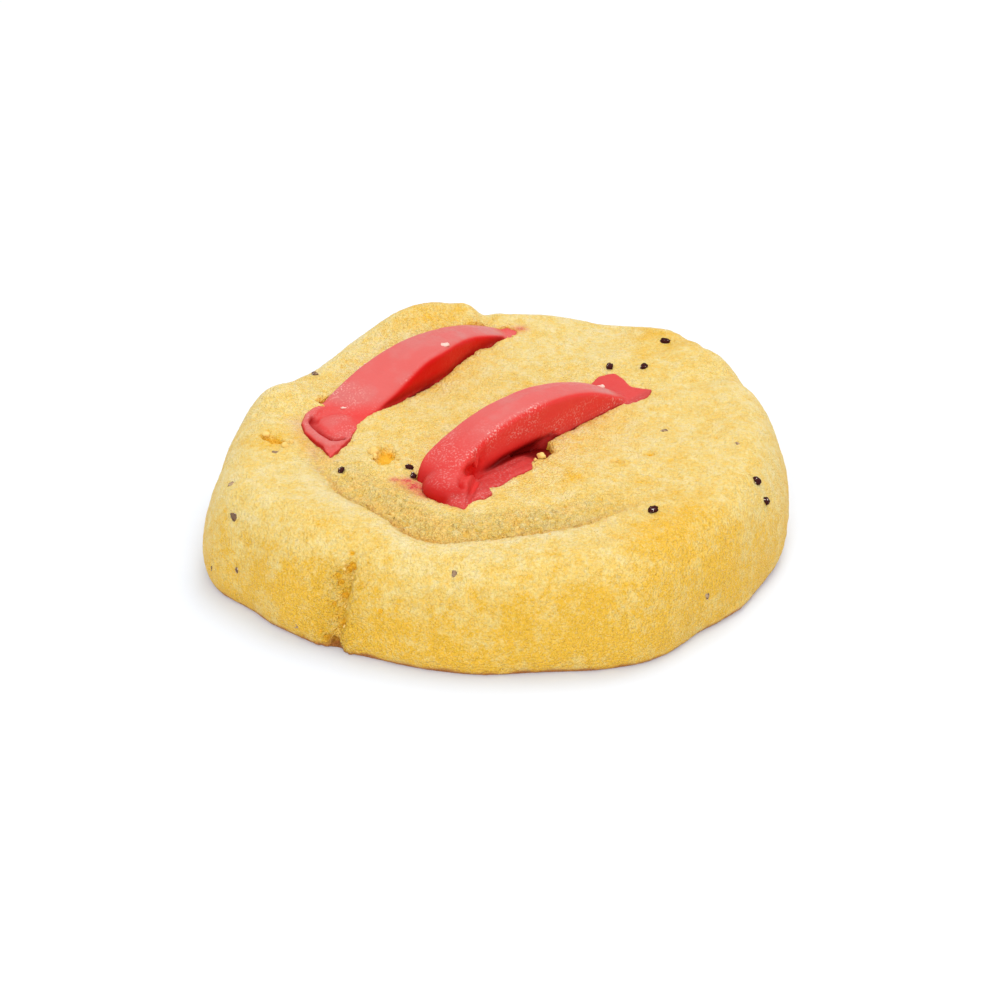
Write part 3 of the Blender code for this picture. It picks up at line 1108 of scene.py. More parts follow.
def crumb_grain_group():
    """Fine crumb: light flecks, a mottle and a height, with that many grains a metre."""
    made = bpy.data.node_groups.get("crumb_grain")
    if made:
        return made
    inputs = (("Grains", 2000.0),)
    graph, given, wanted = new_group("crumb_grain", inputs, ("Flecks", "Mottle", "Height"))
    place = graph.place()
    grains = given.outputs["Grains"]
    lumps = graph.less(1.0, graph.cells(place, grains))
    fine = graph.noise(place, graph.times(grains, 1.5), 1.0, 0.6)
    small = graph.noise(place, graph.times(grains, 0.75), 1.0)
    large = graph.noise(place, graph.times(grains, 0.2), 1.0)
    mottle = graph.plus(graph.times(small, 0.45), graph.times(large, 0.55))
    height = graph.plus(graph.times(lumps, 0.55), graph.times(fine, 0.55))
    graph.feed(wanted.inputs["Flecks"], graph.ramp(fine, 0.5, 0.7))
    graph.feed(wanted.inputs["Mottle"], graph.blend(mottle, 0.28, 0.72))
    graph.feed(wanted.inputs["Height"], height)
    return graph.tree


def patches_group():
    """Soft-edged patches of about that many a metre."""
    made = bpy.data.node_groups.get("patches")
    if made:
        return made
    inputs = (("Patches", 150.0), ("From", 0.45), ("To", 0.65))
    graph, given, wanted = new_group("patches", inputs, ("Mask",))
    blots = graph.noise(graph.place(), given.outputs["Patches"], 4.0, 0.55)
    mask = graph.ramp(blots, given.outputs["From"], given.outputs["To"])
    graph.feed(wanted.inputs["Mask"], mask)
    return graph.tree


def new_material(name, constants):
    """A material, its graph and its shader, which has some constants of its own."""
    made = bpy.data.materials.new(name)
    made.use_nodes = True
    shader = made.node_tree.nodes["Principled BSDF"]
    for socket, value in constants.items():
        shader.inputs[socket].default_value = value
    return made, Graph(made.node_tree), shader


def dough_material(settings):
    made, graph, shader = new_material("baked_dough", DOUGH_SURFACE)
    grain = graph.group(crumb_grain_group(), Grains=3200.0)
    patches = graph.group(patches_group(), Patches=170.0, From=0.4, To=0.62)["Mask"]
    blots = graph.group(patches_group(), Patches=520.0, From=0.45, To=0.62)["Mask"]
    golden = graph.times(graph.mask("golden"), graph.ramp(patches, 0.0, 1.0, 0.75, 1.1))
    # The pale mask lightens the dough, with a painted highlight along the crest
    golden = graph.less(golden, graph.times(graph.mask("pale"), 0.8))
    golden = graph.plus(golden, graph.times(graph.less(0.5, grain["Mottle"]), 1.35))
    golden = graph.plus(golden, graph.times(patches, 0.16))
    basin = graph.times(graph.mask("basin"), graph.ramp(blots, 0.0, 1.0, 0.1, 1.1))
    # Painted shade along the fold's crease, broken up by the mottle
    crease_shade = graph.times(graph.mask("crease"), graph.ramp(grain["Mottle"], 0.3, 0.6))
    soaked = graph.ramp(grain["Mottle"], 0.2, 0.7, 0.5, 1.0)
    colour = graph.layered(
        settings.dough_colour,
        (graph.blend(golden, -0.8, 0.1, 1.0, 0.0), settings.pale_colour),
        (graph.blend(golden, 0.0, 1.1), settings.golden_colour),
        (basin, settings.basin_colour),
        (crease_shade, CREASE_SHADE_COLOUR),
        (graph.times(graph.mask("stain"), soaked), settings.strawberry_colour),
        # Pale flecks on the grain's rises: light crumbs, partly painted highlights
        (graph.times(grain["Flecks"], 0.25), settings.pale_colour),
        (graph.mask("pit"), settings.pit_colour),
        (graph.mask("baked"), settings.baked_colour),
    )
    uneven = graph.ramp(graph.mask("rough"), 0.0, 1.0, 0.6, 1.2)
    relief = graph.bump(graph.times(grain["Height"], uneven), 1.0, DOUGH_BUMP)
    roughness = graph.ramp(grain["Height"], 0.3, 0.9, 0.46, 0.66)
    graph.dress(shader, base_color=colour, roughness=roughness, normal=relief)
    return made


def strawberry_material(settings):
    made, graph, shader = new_material("strawberry_red", STRAWBERRY_SURFACE)
    grain = graph.group(crumb_grain_group(), Grains=2700.0)
    clouds = graph.group(patches_group(), Patches=260.0, From=0.4, To=0.68)["Mask"]
    # Dusty bloom with painted sheen on the tops
    bloom_and_sheen = graph.times(graph.mask("bloom_and_sheen"), graph.ramp(clouds, 0.0, 1.0, 0.7, 1.0))
    # Frosty grain with painted glints
    frost_and_glints = graph.times(graph.mask("frost_and_glints"), grain["Flecks"])
    colour = graph.layered(
        settings.strawberry_colour,
        (bloom_and_sheen, settings.bloom_and_sheen_colour),
        (graph.times(frost_and_glints, 0.7), FROST_AND_GLINT_COLOUR),
        # Painted shade in a deeper red
        (graph.mask("deep"), DEEP_SHADE_COLOUR),
        (graph.mask("shade"), SHADE_COLOUR),
    )
    relief = graph.bump(grain["Height"], 0.3, STRAWBERRY_BUMP)
    roughness = graph.ramp(grain["Height"], 0.3, 0.9, 0.38, 0.55)
    graph.dress(shader, base_color=colour, roughness=roughness, normal=relief)
    return made


def seed_material(settings):
    made, graph, shader = new_material("poppy_seed", SEED_SURFACE)
    place = graph.place()
    nets = graph.cells(place, 3200.0, "DISTANCE_TO_EDGE")
    ridges = graph.ramp(nets, 0.0, 0.16, 1.0, 0.0)
    glints = graph.ramp(graph.noise(place, 3300.0, 1.0), 0.66, 0.7)
    broken = graph.ramp(graph.noise(place, 1900.0, 2.0), 0.4, 0.55, 0.25, 1.0)
    colour = graph.layered(
        settings.seed_colour,
        (ridges, RIDGE_COLOUR),
        (glints, GLINT_COLOUR),
        (graph.times(graph.mask("film"), broken), FILM_COLOUR),
    )
    relief = graph.bump(ridges, 0.7, SEED_BUMP)
    roughness = graph.ramp(nets, 0.0, 0.3, 0.6, 0.5)
    graph.dress(shader, base_color=colour, roughness=roughness, normal=relief)
    return made


def fleck_material():
    made, graph, shader = new_material("sugar_fleck", {})
    grain = graph.group(crumb_grain_group(), Grains=5200.0)
    colour = graph.mix(grain["Flecks"], FLECK_COLOUR, FLECK_LIGHT_COLOUR)
    roughness = graph.ramp(grain["Height"], 0.3, 0.9, 0.4, 0.6)
    graph.dress(shader, base_color=colour, roughness=roughness)
    return made


def floor_material(settings):
    made, graph, shader = new_material("studio_floor", FLOOR_SURFACE)
    clouds = graph.ramp(graph.noise(graph.place(), 3.0), 0.3, 0.7, 0.0, 0.03)
    colour = graph.mix(clouds, settings.floor_colour, FLOOR_CLOUD_COLOUR)
    graph.dress(shader, base_color=colour)
    return made


def stain(points):
    """Where strawberry has soaked into the dough beside the pieces."""
    soaked = np.zeros(len(points))
    for start, end, width, strength in STAINS:
        share = line_share(points, start, end)
        away = np.linalg.norm(points - start - share[:, None] * (np.array(end) - start), axis=1)
        soaked = np.maximum(soaked, strength * np.exp(-((away / width) ** 2)))
    return soaked


def line_share(points, start, end):
    """How far along a line each point lies, from 0 to 1."""
    edge = np.array(end) - start
    return np.clip((points - start) @ edge / (edge @ edge), 0, 1)


def patch(points, centre, size, strength):
    """A soft round patch of colour about a point."""
    return strength * np.exp(-(((points - centre) ** 2).sum(axis=1)) / size**2)


def all_patches(points, patches):
    return sum(patch(points, *each) for each in patches)


class COOKIE_OT_dough(bpy.types.Operator):
    """Bake the dough with its fold, crack, pits and crumb"""

    bl_idname = "cookie.dough"
    bl_label = "Dough"

    def execute(self, context):
        settings = context.scene.cookie
        form = DoughForm(settings)
        rings = dough_rings(form, settings.dough_step / MM)
        made = object_from("dough_baked", np.concatenate(rings), ring_faces(rings))
        points = points_of(made)
        close = np.abs(pocket_distance(points, settings)) < FINE_EDGE
        close &= points[:, 2] > form.middle - 3
        for centre, _, (long, _), _ in pit_places(form):
            close |= np.linalg.norm(points - centre, axis=1) < 1.3 * long
        refine(made, close)
        self.shape(made, form, settings)
        finish(made, "dough_baked", dough_material(settings))
        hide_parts("dough")
        return {"FINISHED"}

    def shape(self, made, form, settings):
        """Raises the relief, sinks the pockets and paints the masks for the colours."""
        points = points_of(made)
        normals = normals_of(made)
        bearing = bearing_of(points)
        height = points[:, 2]
        on_top = eased(height, *(form.middle - down for down in TOP_ENDS))
        on_wall = 1 - on_top
        folded = fold_presence(bearing) * on_top
        foot = 1 - eased(height + 0.35 * noise_at(points + 8.8, 2.0), 0.2, 0.8)
        wander = 0.7 * noise_at(points + 3.1, 2.4) + 0.35 * noise_at(points + 1.4, 0.8)
        away = fold_away(bearing, np.hypot(points[:, 0], points[:, 1])) + wander
        basin = np.exp(-(((away + BASIN_AWAY) / BASIN_HALF_WIDTH) ** 4)) * folded
        crease = np.exp(-((away / CREASE_WIDTH) ** 2)) * folded
        crest = np.exp(-(((away - CREST_AWAY) / CREST_WIDTH) ** 2)) * folded
        slanted = CRACK_BEARING + CRACK_SLANT * (height - CRACK_MID_HEIGHT) + 1.2 * wander
        split = bump(bearing, slanted, SPLIT_HALF_WIDTH) * on_wall
        split_lip = bump(bearing, slanted + 2.4, 1.2) * on_wall
        beside_split = bump(bearing, slanted, BESIDE_SPLIT_WIDTH) * on_wall
        rough = 0.6 + 1.0 * basin + 0.6 * beside_split
        crumb = noise_at(points, CRUMB_LENGTH, 2)
        lumpy = np.maximum(rough - 0.5, 0) * lumpy_at(points, LUMPY_LENGTH)
        pits, inside_pits = pit_relief(points, form)
        tiny = tiny_pits(points, 2 * basin + beside_split, np.random.default_rng(5))

        relief = PUFF_HEIGHT * noise_at(points + 11.3, PUFF_LENGTH, 2)
        relief += CRUMB_HEIGHT * rough * crumb
        relief += 0.5 * CRUMB_HEIGHT * noise_at(points + 5.5, 0.5 * CRUMB_LENGTH)
        relief += LUMPY_HEIGHT * lumpy
        relief -= CREASE_DEPTH * crease * (0.6 + 0.8 * noise_at(points + 9.0, 3.0))
        relief -= SPLIT_DEPTH * (split - 0.6 * split_lip)
        relief -= pits + tiny
        relief *= eased(height, -0.01, 0.25)
        points = points + normals * relief[:, None]

        distance = pocket_distance(points, settings)
        for shift, length, size in EDGE_NOISE:
            distance = distance + size * noise_at(points + shift, length)
        lip = LIP_HEIGHT * np.exp(-(((distance - LIP_AWAY) / LIP_WIDTH) ** 2))
        lip *= np.maximum(noise_at(points + 4.4, 1.1), 0)
        shoulder = SHOULDER_DEPTH * np.exp(-((np.maximum(distance, 0) / SHOULDER_WIDTH) ** 2))
        drop = POCKET_DROP * (1 - eased(distance, -0.5, 0.0))
        points[:, 2] += (lip - shoulder - drop) * on_top
        set_points(made, points)

        shadowed = (1 - eased(distance, -0.3, 0.15)) * on_top
        # Pit colour: the pits, holes and crack, plus painted shade where the dough drops into the
        # pockets and in the creases between crumbs
        pit = 1.2 * inside_pits + 0.9 * shadowed + 1.5 * tiny + 0.2 * split
        paint(made, "pit", pit + 0.3 * np.maximum(-lumpy, 0))
        notch_bearing, notch_height, size, strength = DARK_NOTCH
        notch = wall_site(form, notch_bearing, notch_height)[0]
        # Baked: the browned edge along the ground, and a darker patch in the notch at the crack's foot
        paint(made, "baked", foot + patch(points, notch, size, strength))
        # Crease: painted shade along the fold's crease
        paint(made, "crease", crease)
        paint(made, "stain", stain(points))
        paint(made, "rough", rough / 1.6)
        paint(made, "basin", basin * (0.7 + 0.5 * noise_at(points, 3.5)))
        # Golden: browned wall and patches, strongest low down, partly browning and partly painted
        # shade; more golden in the crumb's hollows and paler on its rises, as painted shade and
        # highlight
        low_down = 1 - eased(height, 1.5, 9.5)
        golden = 0.42 * on_wall + 1.1 * low_down - 0.4 * crumb + 0.5 * beside_split
        paint(made, "golden", golden + all_patches(points, GOLDEN_PATCHES))
        # Pale: a painted highlight along the rim's crest, and paler patches of dough
        paint(made, "pale", 0.75 * crest + all_patches(points, PALE_PATCHES))


def sheet_object(piece, corners, name):
    """A melted sheet: the outline from its bottom up to each corner's height."""
    bm = bmesh.new()
    tops = [bm.verts.new(piece_place(piece, *corner)) for corner in corners]
    places = [piece_place(piece, along, aside, SHEET_BOTTOM) for along, aside, _ in corners]
    feet = [bm.verts.new(place) for place in places]
    count = len(corners)
    for k in range(count):
        after = (k + 1) % count
        bm.faces.new((tops[k], feet[k], feet[after], tops[after]))
    bm.faces.new(tops)
    bm.faces.new(reversed(feet))
    return object_of(bm, name)


def object_of(bm, name):
    """Finishes a closed mesh as an object, still in millimetres."""
    bmesh.ops.triangulate(bm, faces=bm.faces)
    bmesh.ops.recalc_face_normals(bm, faces=bm.faces)
    mesh = bpy.data.meshes.new(name)
    bm.to_mesh(mesh)
    bm.free()
    made = bpy.data.objects.new(name, mesh)
    bpy.context.scene.collection.objects.link(made)
    return made


def ball(bm, centre, sizes, turn=0.0, detail=3):
    """Adds an ellipsoid to a mesh."""
    place = Matrix.Translation(centre) @ Matrix.Rotation(turn, 4, "Z")
    place = place @ Matrix.Diagonal((*sizes, 1))
    return bmesh.ops.create_icosphere(bm, subdivisions=detail, radius=1, matrix=place)["verts"]


def bead_object(piece, beads, name):
    """A rounded bead through places along and aside of a piece."""
    bm = bmesh.new()
    for first, second in zip(beads, beads[1:]):
        for step in range(4):
            share = step / 4
            along, aside, height, size = (a + (b - a) * share for a, b in zip(first, second))
            ball(bm, piece_place(piece, along, aside, height), (size, size, size), detail=2)
    return object_of(bm, name)


def arch_section(piece, along):
    """Points round one section of an arched slice, from its rear foot over to its front."""
    rise = max(float(arch_height(piece, along)) - ARCH_BOTTOM, 1.0)
    rear, front = (float(side) for side in piece_sides(piece, along))
    rounding = min(max(1 - (along - piece["near"]) / piece["rounding"], 0), 0.98)
    narrowed = (front - rear) / 2 * NOSE_NARROWING * (1 - math.sqrt(1 - rounding**2))
    rear, front = rear + narrowed, front - narrowed
    middle = (rear + front) / 2
    half = (front - rear) / 2
    corner = min(piece["corner"], 0.45 * rise)
    quarter = np.radians(np.linspace(0, 90, CORNER_STEPS + 1))
    rounded = [
        (half - corner * (1 - math.cos(turn)), rise - corner * (1 - math.sin(turn)))
        for turn in quarter
    ]
    outline = [(-half, 0.0)]
    outline += [(-across, up) for across, up in rounded]
    outline.append((0.0, rise + TOP_BULGE))
    outline += reversed(rounded)
    begun = float(eased(along, *UNDERCUT_START))
    ended = float(eased(along, *UNDERCUT_END))
    recess = piece["undercut"] * begun * (1 - ended)
    low = min(UNDERCUT_HEIGHT, 0.5 * rise)
    outline += [(half - inward * recess, low + upward * recess) for inward, upward in UNDERSIDE]
    outline.append((half - recess, 0.0))
    drop = piece["front_drop"] * float(eased(-along, -DROP_TURN, DROP_TURN))
    for across, up in outline:
        lowered = up - drop * (across / half + 1) / 2 * min(up / rise, 1)
        yield piece_place(piece, along, middle + across, ARCH_BOTTOM + lowered)


def arch_object(piece, name):
    """An arched slice as sections from its near end to its far end, closer at the ends."""
    bm = bmesh.new()
    sections = []
    for share in np.linspace(0, 1, SECTION_COUNT):
        turned = (share + (1 - math.cos(math.pi * share)) / 2) / 2
        along = piece["near"] + (piece["far"] - piece["near"]) * turned
        sections.append([bm.verts.new(point) for point in arch_section(piece, along)])
    for first, second in zip(sections, sections[1:]):
        for k in range(len(first)):
            after = (k + 1) % len(first)
            bm.faces.new((first[k], first[after], second[after], second[k]))
    bm.faces.new(sections[0])
    bm.faces.new(reversed(sections[-1]))
    return object_of(bm, name)


def nose_object(piece, noses, name):
    bm = bmesh.new()
    for along, aside, height, sizes, bearing in noses:
        ball(bm, piece_place(piece, along, aside, height), sizes, math.radians(bearing))
    return object_of(bm, name)


def melted(parts, step):
    """Joins overlapping closed parts into one skin and softens it."""
    first = parts[0]
    with bpy.context.temp_override(active_object=first, selected_editable_objects=parts):
        bpy.ops.object.join()
    remesh = first.modifiers.new("Skin", "REMESH")
    remesh.mode = "VOXEL"
    remesh.voxel_size = step
    soften = first.modifiers.new("Soften", "SMOOTH")
    soften.factor = 0.5
    soften.iterations = SOFTEN_ROUNDS
    with bpy.context.temp_override(object=first, active_object=first):
        bpy.ops.object.modifier_apply(modifier=remesh.name)
        bpy.ops.object.modifier_apply(modifier=soften.name)
    return first


def piece_coordinates(piece, points):
    angle = math.radians(piece["bearing"])
    along = points[:, 0] * math.cos(angle) + points[:, 1] * math.sin(angle)
    aside = points[:, 0] * math.sin(angle) - points[:, 1] * math.cos(angle)
    return along, aside


def groove_at(along, aside, path):
    """1 along a path in plan, fading out on both sides."""
    points = np.stack((along, aside), axis=-1)
    nearest = np.full(len(points), np.inf)
    for start, end in zip(path, path[1:]):
        share = line_share(points, start, end)
        away = points - start - share[:, None] * (np.array(end) - start)
        nearest = np.minimum(nearest, np.hypot(away[:, 0], away[:, 1]))
    return np.exp(-((nearest / GROOVE_WIDTH) ** 2))


class COOKIE_OT_strawberry(bpy.types.Operator):
    """Melt the strawberry pieces into the dough"""

    bl_idname = "cookie.strawberry"
    bl_label = "Strawberry pieces"

    def execute(self, context):
        settings = context.scene.cookie
        surface = strawberry_material(settings)
        pieces = (
            (REAR_PIECE, (REAR_LOBE, REAR_TIP), (REAR_LIP,), REAR_NOSE),
            (FRONT_PIECE, (FRONT_SKIRT, FRONT_TIP), (FRONT_DRIP,), FRONT_NOSE),
        )
        for piece, sheets, beads, noses in pieces:
            parts = [arch_object(piece, "arch"), nose_object(piece, noses, "nose")]
            parts += [sheet_object(piece, corners, "sheet") for corners in sheets]
            parts += [bead_object(piece, chain, "bead") for chain in beads]
            made = melted(parts, settings.piece_step / MM)
            self.shape(made, piece, settings)
            finish(made, piece["node"] + "_melted", surface)
            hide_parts(piece["node"])
        return {"FINISHED"}

    def ceiling(self, along, aside, level):
        """How high the melted drip may stand beyond the fold beside the nose."""
        start, end = np.array(FOLD_LINE)
        run, across = end - start
        beyond = (run * (aside - start[1]) - across * (along - start[0])) / math.hypot(run, across)
        sheet = level + 0.1 + 0.6 * eased(beyond, 0.9, 1.6)
        return sheet + 7 * (1 - eased(beyond, -0.4, 0.6)) + 9 * eased(along, -10.8, -9.2)

    def shape(self, made, piece, settings):
        points = points_of(made)
        normals = normals_of(made)
        along, aside = piece_coordinates(piece, points)
        front = piece_sides(piece, along)[1]
        level = settings.middle_height / MM
        height = points[:, 2]
        relief = 0.07 * noise_at(points + 1.7, 3.0, 2)
        streaks = np.stack((along / 6, aside, height), axis=-1)
        facing_up = normals[:, 2]
        on_side = eased(facing_up, 0.75, 0.4) * eased(height, level - 0.5, level + 0.5)
        on_sheet = eased(height, level + 1.2, level + 0.4) * eased(aside - front, -0.4, 0.9)
        relief += (0.03 * on_side + 0.07 * on_sheet) * noise_at(streaks, 0.55, 2)
        path = REAR_GROOVE if piece is REAR_PIECE else FRONT_GROOVE
        groove = groove_at(along, aside, path) * eased(height, level - 0.9, level - 0.3)
        groove *= 1 - eased(height, level + 1.4, level + 2.4)
        relief -= GROOVE_DEPTH * groove
        if piece is FRONT_PIECE:
            nick = patch(points, piece_place(piece, *NICK), NICK_SIZE, 1.0)
            relief -= NICK_DEPTH * nick
            groove = np.maximum(groove, nick)
        points = points + normals * relief[:, None]
        if piece is FRONT_PIECE:
            points[:, 2] = np.minimum(points[:, 2], self.ceiling(along, aside, level))
        set_points(made, points)
        height = points[:, 2]
        low = level - 0.4 if piece is REAR_PIECE else level + 0.2
        # Bloom: dusty bloom and painted sheen on the up-facing tops, varied along each piece, with
        # some on the sheets and tips
        on_band = eased(facing_up, 0.55, 0.85) * eased(height, low, low + 1.4)
        near_bloom_and_sheen = 0.75 if piece is REAR_PIECE else 0.15
        dust_and_sheen = near_bloom_and_sheen + (0.6 - near_bloom_and_sheen) * eased(along, -15, -4) + 0.35 * eased(along, 0, 20)
        tip = eased(along, 14, 16) * (1 - eased(height, level + 0.4, level + 1.4))
        paint(made, "bloom_and_sheen", on_band * dust_and_sheen + 0.25 * on_sheet + 0.15 * tip)
        low_band = on_band * (1 - eased(along, -10.5, -5.0))
        low_side = on_side * (1 - eased(height, level + 1.0, level + 3.4)) * eased(along, -4, 4)
        ridge = np.exp(-(((aside - front + 0.35) / 0.3) ** 2)) * eased(height, level + 1.5, level + 3)
        # Frost: sugar grain on the low band, low side and sheets, and painted glints along the front
        # piece's ridge and on the rear piece's near top
        frost_and_glint_mask = 0.28 * low_band + 0.4 * low_side + 0.35 * on_sheet
        frost_and_glint_mask += 1.6 * ridge * eased(along, -14, -9) * (1 - eased(along, -4, 3))
        if piece is REAR_PIECE:
            frost_and_glint_mask += 0.9 * np.exp(-(((along + 9.0) / 2.2) ** 2)) * on_band
        patchy = 0.35 + 1.3 * eased(noise_at(points + 5.9, 2.6), -0.25, 0.35)
        paint(made, "frost_and_glints", frost_and_glint_mask * patchy)
        # Deep: painted shade in a deeper red, in and beside the grooves, down the rear piece's side,
        # in the undercut and low on the nose; also on the sheets and the rear lobe
        beside = groove_at(along - 1.0, aside, path) * eased(height, level - 0.9, level - 0.3)
        deep = np.maximum(np.maximum(0.9 * groove, 0.5 * beside), 0.25 * on_sheet)
        foot = 1 - eased(height, level - 0.2, level + 1.7)
        if piece is REAR_PIECE:
            lobe = 0.2 * eased(-along, 9.5, 12.5) * eased(along + 0.6 * (aside + 16), -16.6, -15.2)
            deep = np.maximum(deep, np.maximum(0.95 * on_side, lobe))
            # Painted shade, darker down the side towards its foot and in the grooves
            shade = np.maximum(0.7 * foot * on_side + 0.08 * on_side, 0.65 * groove)
        else:
            nose = eased(-along, 12.5, 16.5) * (1 - eased(height, level, level + 2.5))
            deep = np.maximum(deep, 0.8 * nose * (1 - on_sheet))
            undercut = eased(front + 0.5 - aside, 0, 0.6) * eased(6.5 - np.abs(along + 4.2), 0, 2.5)
            red = 0.6 * undercut * (1 - eased(height, level + 0.5, level + 2.2))
            deep = np.maximum(deep, red + 0.12 * on_side)
            shade = undercut * (1 - eased(height, level, level + 1.5)) * eased(aside, 3.0, 3.6)
            # Painted shade, darker on the sheets, the low band, the tip and low on the nose
            darkened = 0.2 * on_sheet + 0.06 * low_band + 0.12 * tip + 0.4 * nose * (1 - on_sheet)
            shade = np.maximum(shade, darkened)
            # Painted shade in the sunk hole at the undercut's far end
            sunk = eased(along, -3.2, -2.2) * (1 - eased(height, level - 0.6, level))
            shade = np.maximum(shade, sunk * eased(aside, 4.0, 4.6))
        paint(made, "deep", deep)
        paint(made, "shade", 0.9 * shade)


def top_site(form, bearing, radius):
    x, y, _ = polar(np.array([float(bearing)]), radius, 0.0)[0]
    heights = form.top_height(np.array([x, x + 0.3, x]), np.array([y, y, y + 0.3]))
    normal = np.array(((heights[0] - heights[1]) / 0.3, (heights[0] - heights[2]) / 0.3, 1.0))
    return np.array((x, y, heights[0])), normal / np.linalg.norm(normal)


class COOKIE_OT_seeds(bpy.types.Operator):
    """Set the poppy seeds into the dough"""

    bl_idname = "cookie.seeds"
    bl_label = "Poppy seeds"

    def execute(self, context):
        settings = context.scene.cookie
        form = DoughForm(settings)
        sites = [(*top_site(form, bearing, radius), out) for bearing, radius, out in TOP_SEEDS]
        sites += [(*wall_site(form, bearing, height), out) for bearing, height, out in WALL_SEEDS]
        randoms = np.random.default_rng(11)
        half = settings.seed_length / MM / 2
        bm = bmesh.new()
        films = []
        for point, normal, out in sites:
            size = half * randoms.uniform(0.85, 1.12)
            verts = bmesh.ops.create_icosphere(bm, subdivisions=4, radius=1)["verts"]
            tilt = Vector(normal).to_track_quat("Z", "X").to_matrix().to_4x4()
            turn = Matrix.Rotation(randoms.uniform(0, 2 * math.pi), 4, "Z")
            lean = Matrix.Rotation(randoms.uniform(-0.4, 0.4), 4, "X")
            seat = Matrix.Translation(Vector(point) + Vector(normal) * out) @ tilt @ turn @ lean
            for vert in verts:
                vert.co = seat @ self.kidney(vert.co, size, float(out))
            films += [float(np.clip(0.85 - (out + 0.3) * 3.2, 0, 0.85))] * len(verts)
        made = object_of(bm, "poppy_seeds")
        paint(made, "film", np.array(films))
        finish(made, "poppy_seeds", seed_material(settings))
        return {"FINISHED"}

    def kidney(self, direction, size, shift):
        """A point of a kidney-shaped seed with a netted skin."""
        lengthwise, across, up = direction
        dent = 0.30 * math.exp(-((lengthwise / 0.45) ** 2)) * max(across, 0) ** 2
        netting = noise.voronoi(direction * 2.1 + Vector((shift * 90, 0, 0)))[0]
        facets = noise.voronoi(direction * 1.2 + Vector((0, 0, shift * 50)))[0][0]
        grow = 1.1 - 0.34 * facets + 0.12 * math.exp(-(((netting[1] - netting[0]) / 0.16) ** 2))
        grow += 0.16 * noise.noise(direction * 1.3 + Vector((0, shift * 70, 0)))
        long, wide, thick = SEED_SLIMNESS
        taper = 1 - 0.12 * lengthwise
        sides = Vector((lengthwise * long, (across - dent) * wide * taper, up * thick * taper))
        return sides * size * grow


class COOKIE_OT_crumbs(bpy.types.Operator):
    """Scatter loose crumbs on the dough and sugar flecks on the strawberry"""

    bl_idname = "cookie.crumbs"
    bl_label = "Crumbs and flecks"

    def execute(self, context):
        settings = context.scene.cookie
        form = DoughForm(settings)
        randoms = np.random.default_rng(23)
        bm = bmesh.new()
        for x, y, size in CRUMBS:
            bearing = math.degrees(math.atan2(y, x))
            point, _ = top_site(form, bearing, math.hypot(x, y))
            self.crumb(bm, point + (0, 0, size / 4), size, randoms)
        for _ in range(LOOSE_CRUMBS):
            bearing = randoms.uniform(*LOOSE_BEARINGS)
            point, _ = top_site(form, bearing, randoms.uniform(*LOOSE_RADII))
            if pocket_distance(point[None], settings)[0] > FINE_EDGE:
                size = randoms.uniform(*LOOSE_SIZES)
                self.crumb(bm, point - (0, 0, CRUMB_SINK), size, randoms)
        for _ in range(SPLIT_CRUMBS):
            height = randoms.uniform(*SPLIT_HEIGHTS)
            middle = CRACK_BEARING + CRACK_SLANT * (height - CRACK_MID_HEIGHT)
            point, normal = wall_site(form, middle + randoms.uniform(*SPLIT_TURNS), height)
            size = randoms.uniform(*SPLIT_SIZES)
            self.crumb(bm, point - CRUMB_SINK * normal, size, randoms)
        made = object_of(bm, "loose_crumbs")
        paint(made, "pale", np.ones(len(made.data.vertices)))
        finish(made, "loose_crumbs", bpy.data.materials["baked_dough"])
        bm = bmesh.new()
        for x, y, z, size in FLECKS:
            self.crumb(bm, self.on_strawberry((x, y, z)), size, randoms, FLECK_SHAPE)
        flecks = object_of(bm, "sugar_flecks")
        finish(flecks, "sugar_flecks", fleck_material())
        return {"FINISHED"}

    def on_strawberry(self, place):
        """The nearest place on the strawberry pieces."""
        wanted = (Vector(place) - Vector(MIDDLE)) * MM
        spots = []
        for piece in (REAR_PIECE, FRONT_PIECE):
            made = bpy.data.objects[piece["node"] + "_melted"]
            spots.append(made.closest_point_on_mesh(wanted)[1])
        nearest = min(spots, key=lambda spot: (spot - wanted).length)
        return np.array(nearest / MM + Vector(MIDDLE))

    def crumb(self, bm, centre, size, randoms, shape=(1.0, 1.0, 1.0)):
        turn = 0.0 if shape is FLECK_SHAPE else randoms.uniform(0, math.pi)
        sizes = size * randoms.uniform(0.6, 1.0, 3) * shape
        verts = ball(bm, centre, sizes, turn, detail=3)
        for vert in verts:
            away = vert.co - Vector(centre)
            uneven = 1 + 0.5 * noise.fractal(vert.co / (0.9 * size), 1.0, 2.0, 2)
            vert.co = Vector(centre) + away * uneven


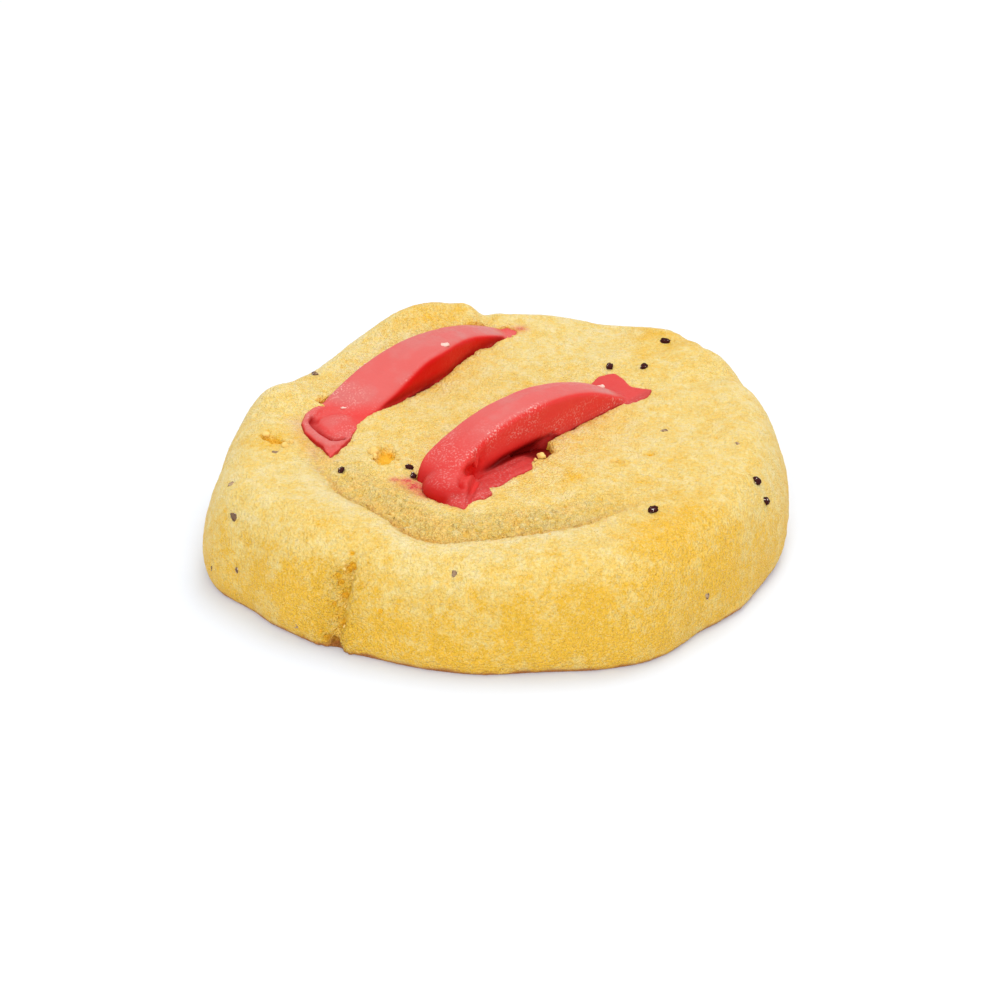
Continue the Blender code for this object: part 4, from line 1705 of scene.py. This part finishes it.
class COOKIE_OT_stage(bpy.types.Operator):
    """Set the floor, the soft light and the camera"""

    bl_idname = "cookie.stage"
    bl_label = "Floor, light and camera"

    def execute(self, context):
        settings = context.scene.cookie
        bm = bmesh.new()
        bmesh.ops.create_grid(bm, x_segments=8, y_segments=8, size=FLOOR_HALF_SIZE)
        floor = object_of(bm, "studio_floor")
        floor.data.materials.append(floor_material(settings))
        for name, place, size, power in LIGHTS:
            self.light(name, place, size, power)
        world = bpy.data.worlds.new("studio_air")
        world.use_nodes = True
        air = world.node_tree.nodes["Background"]
        air.inputs["Color"].default_value = AIR_COLOUR
        air.inputs["Strength"].default_value = AIR_STRENGTH
        context.scene.world = world
        context.scene.view_settings.view_transform = "Standard"
        self.camera(context)
        return {"FINISHED"}

    def light(self, name, place, size, power):
        data = bpy.data.lights.new(name, "AREA")
        data.size = size
        data.energy = power
        lamp = bpy.data.objects.new(name, data)
        bpy.context.scene.collection.objects.link(lamp)
        lamp.location = place
        lamp.rotation_euler = (-Vector(place)).to_track_quat("-Z", "Y").to_euler()

    def camera(self, context):
        data = bpy.data.cameras.new("photo_camera")
        data.lens = CAMERA_LENS
        data.sensor_width = CAMERA_SENSOR
        data.clip_start = CAMERA_CLIP_START
        camera = bpy.data.objects.new("photo_camera", data)
        context.scene.collection.objects.link(camera)
        angle = math.radians(CAMERA_ELEVATION)
        back = Vector((0, -math.cos(angle), math.sin(angle)))
        up = Vector((0, math.sin(angle), math.cos(angle)))
        camera.location = Vector(CAMERA_TARGET) - up * CAMERA_DROP + back * CAMERA_DISTANCE
        camera.rotation_euler = (-back).to_track_quat("-Z", "Y").to_euler()
        context.scene.camera = camera


class COOKIE_PT_panel(bpy.types.Panel):
    """Sizes, colours and steps of the cookie"""

    bl_idname = "COOKIE_PT_panel"
    bl_label = "Strawberry cookie"
    bl_space_type = "VIEW_3D"
    bl_region_type = "UI"
    bl_category = "Cookie"

    def draw(self, context):
        settings = context.scene.cookie
        for name in CookieSettings.__annotations__:
            self.layout.prop(settings, name)
        for step in STEPS:
            self.layout.operator(step.bl_idname)


STEPS = (
    COOKIE_OT_dough,
    COOKIE_OT_strawberry,
    COOKIE_OT_seeds,
    COOKIE_OT_crumbs,
    COOKIE_OT_stage,
)
CLASSES = (CookieSettings, *STEPS, COOKIE_PT_panel)


def register():
    for each in CLASSES:
        bpy.utils.register_class(each)
    bpy.types.Scene.cookie = PointerProperty(type=CookieSettings)


def unregister():
    del bpy.types.Scene.cookie
    for each in reversed(CLASSES):
        bpy.utils.unregister_class(each)


def main():
    register()
    bpy.ops.cookie.dough()
    bpy.ops.cookie.strawberry()
    bpy.ops.cookie.seeds()
    bpy.ops.cookie.crumbs()
    bpy.ops.cookie.stage()


if __name__ == "__main__":
    main()
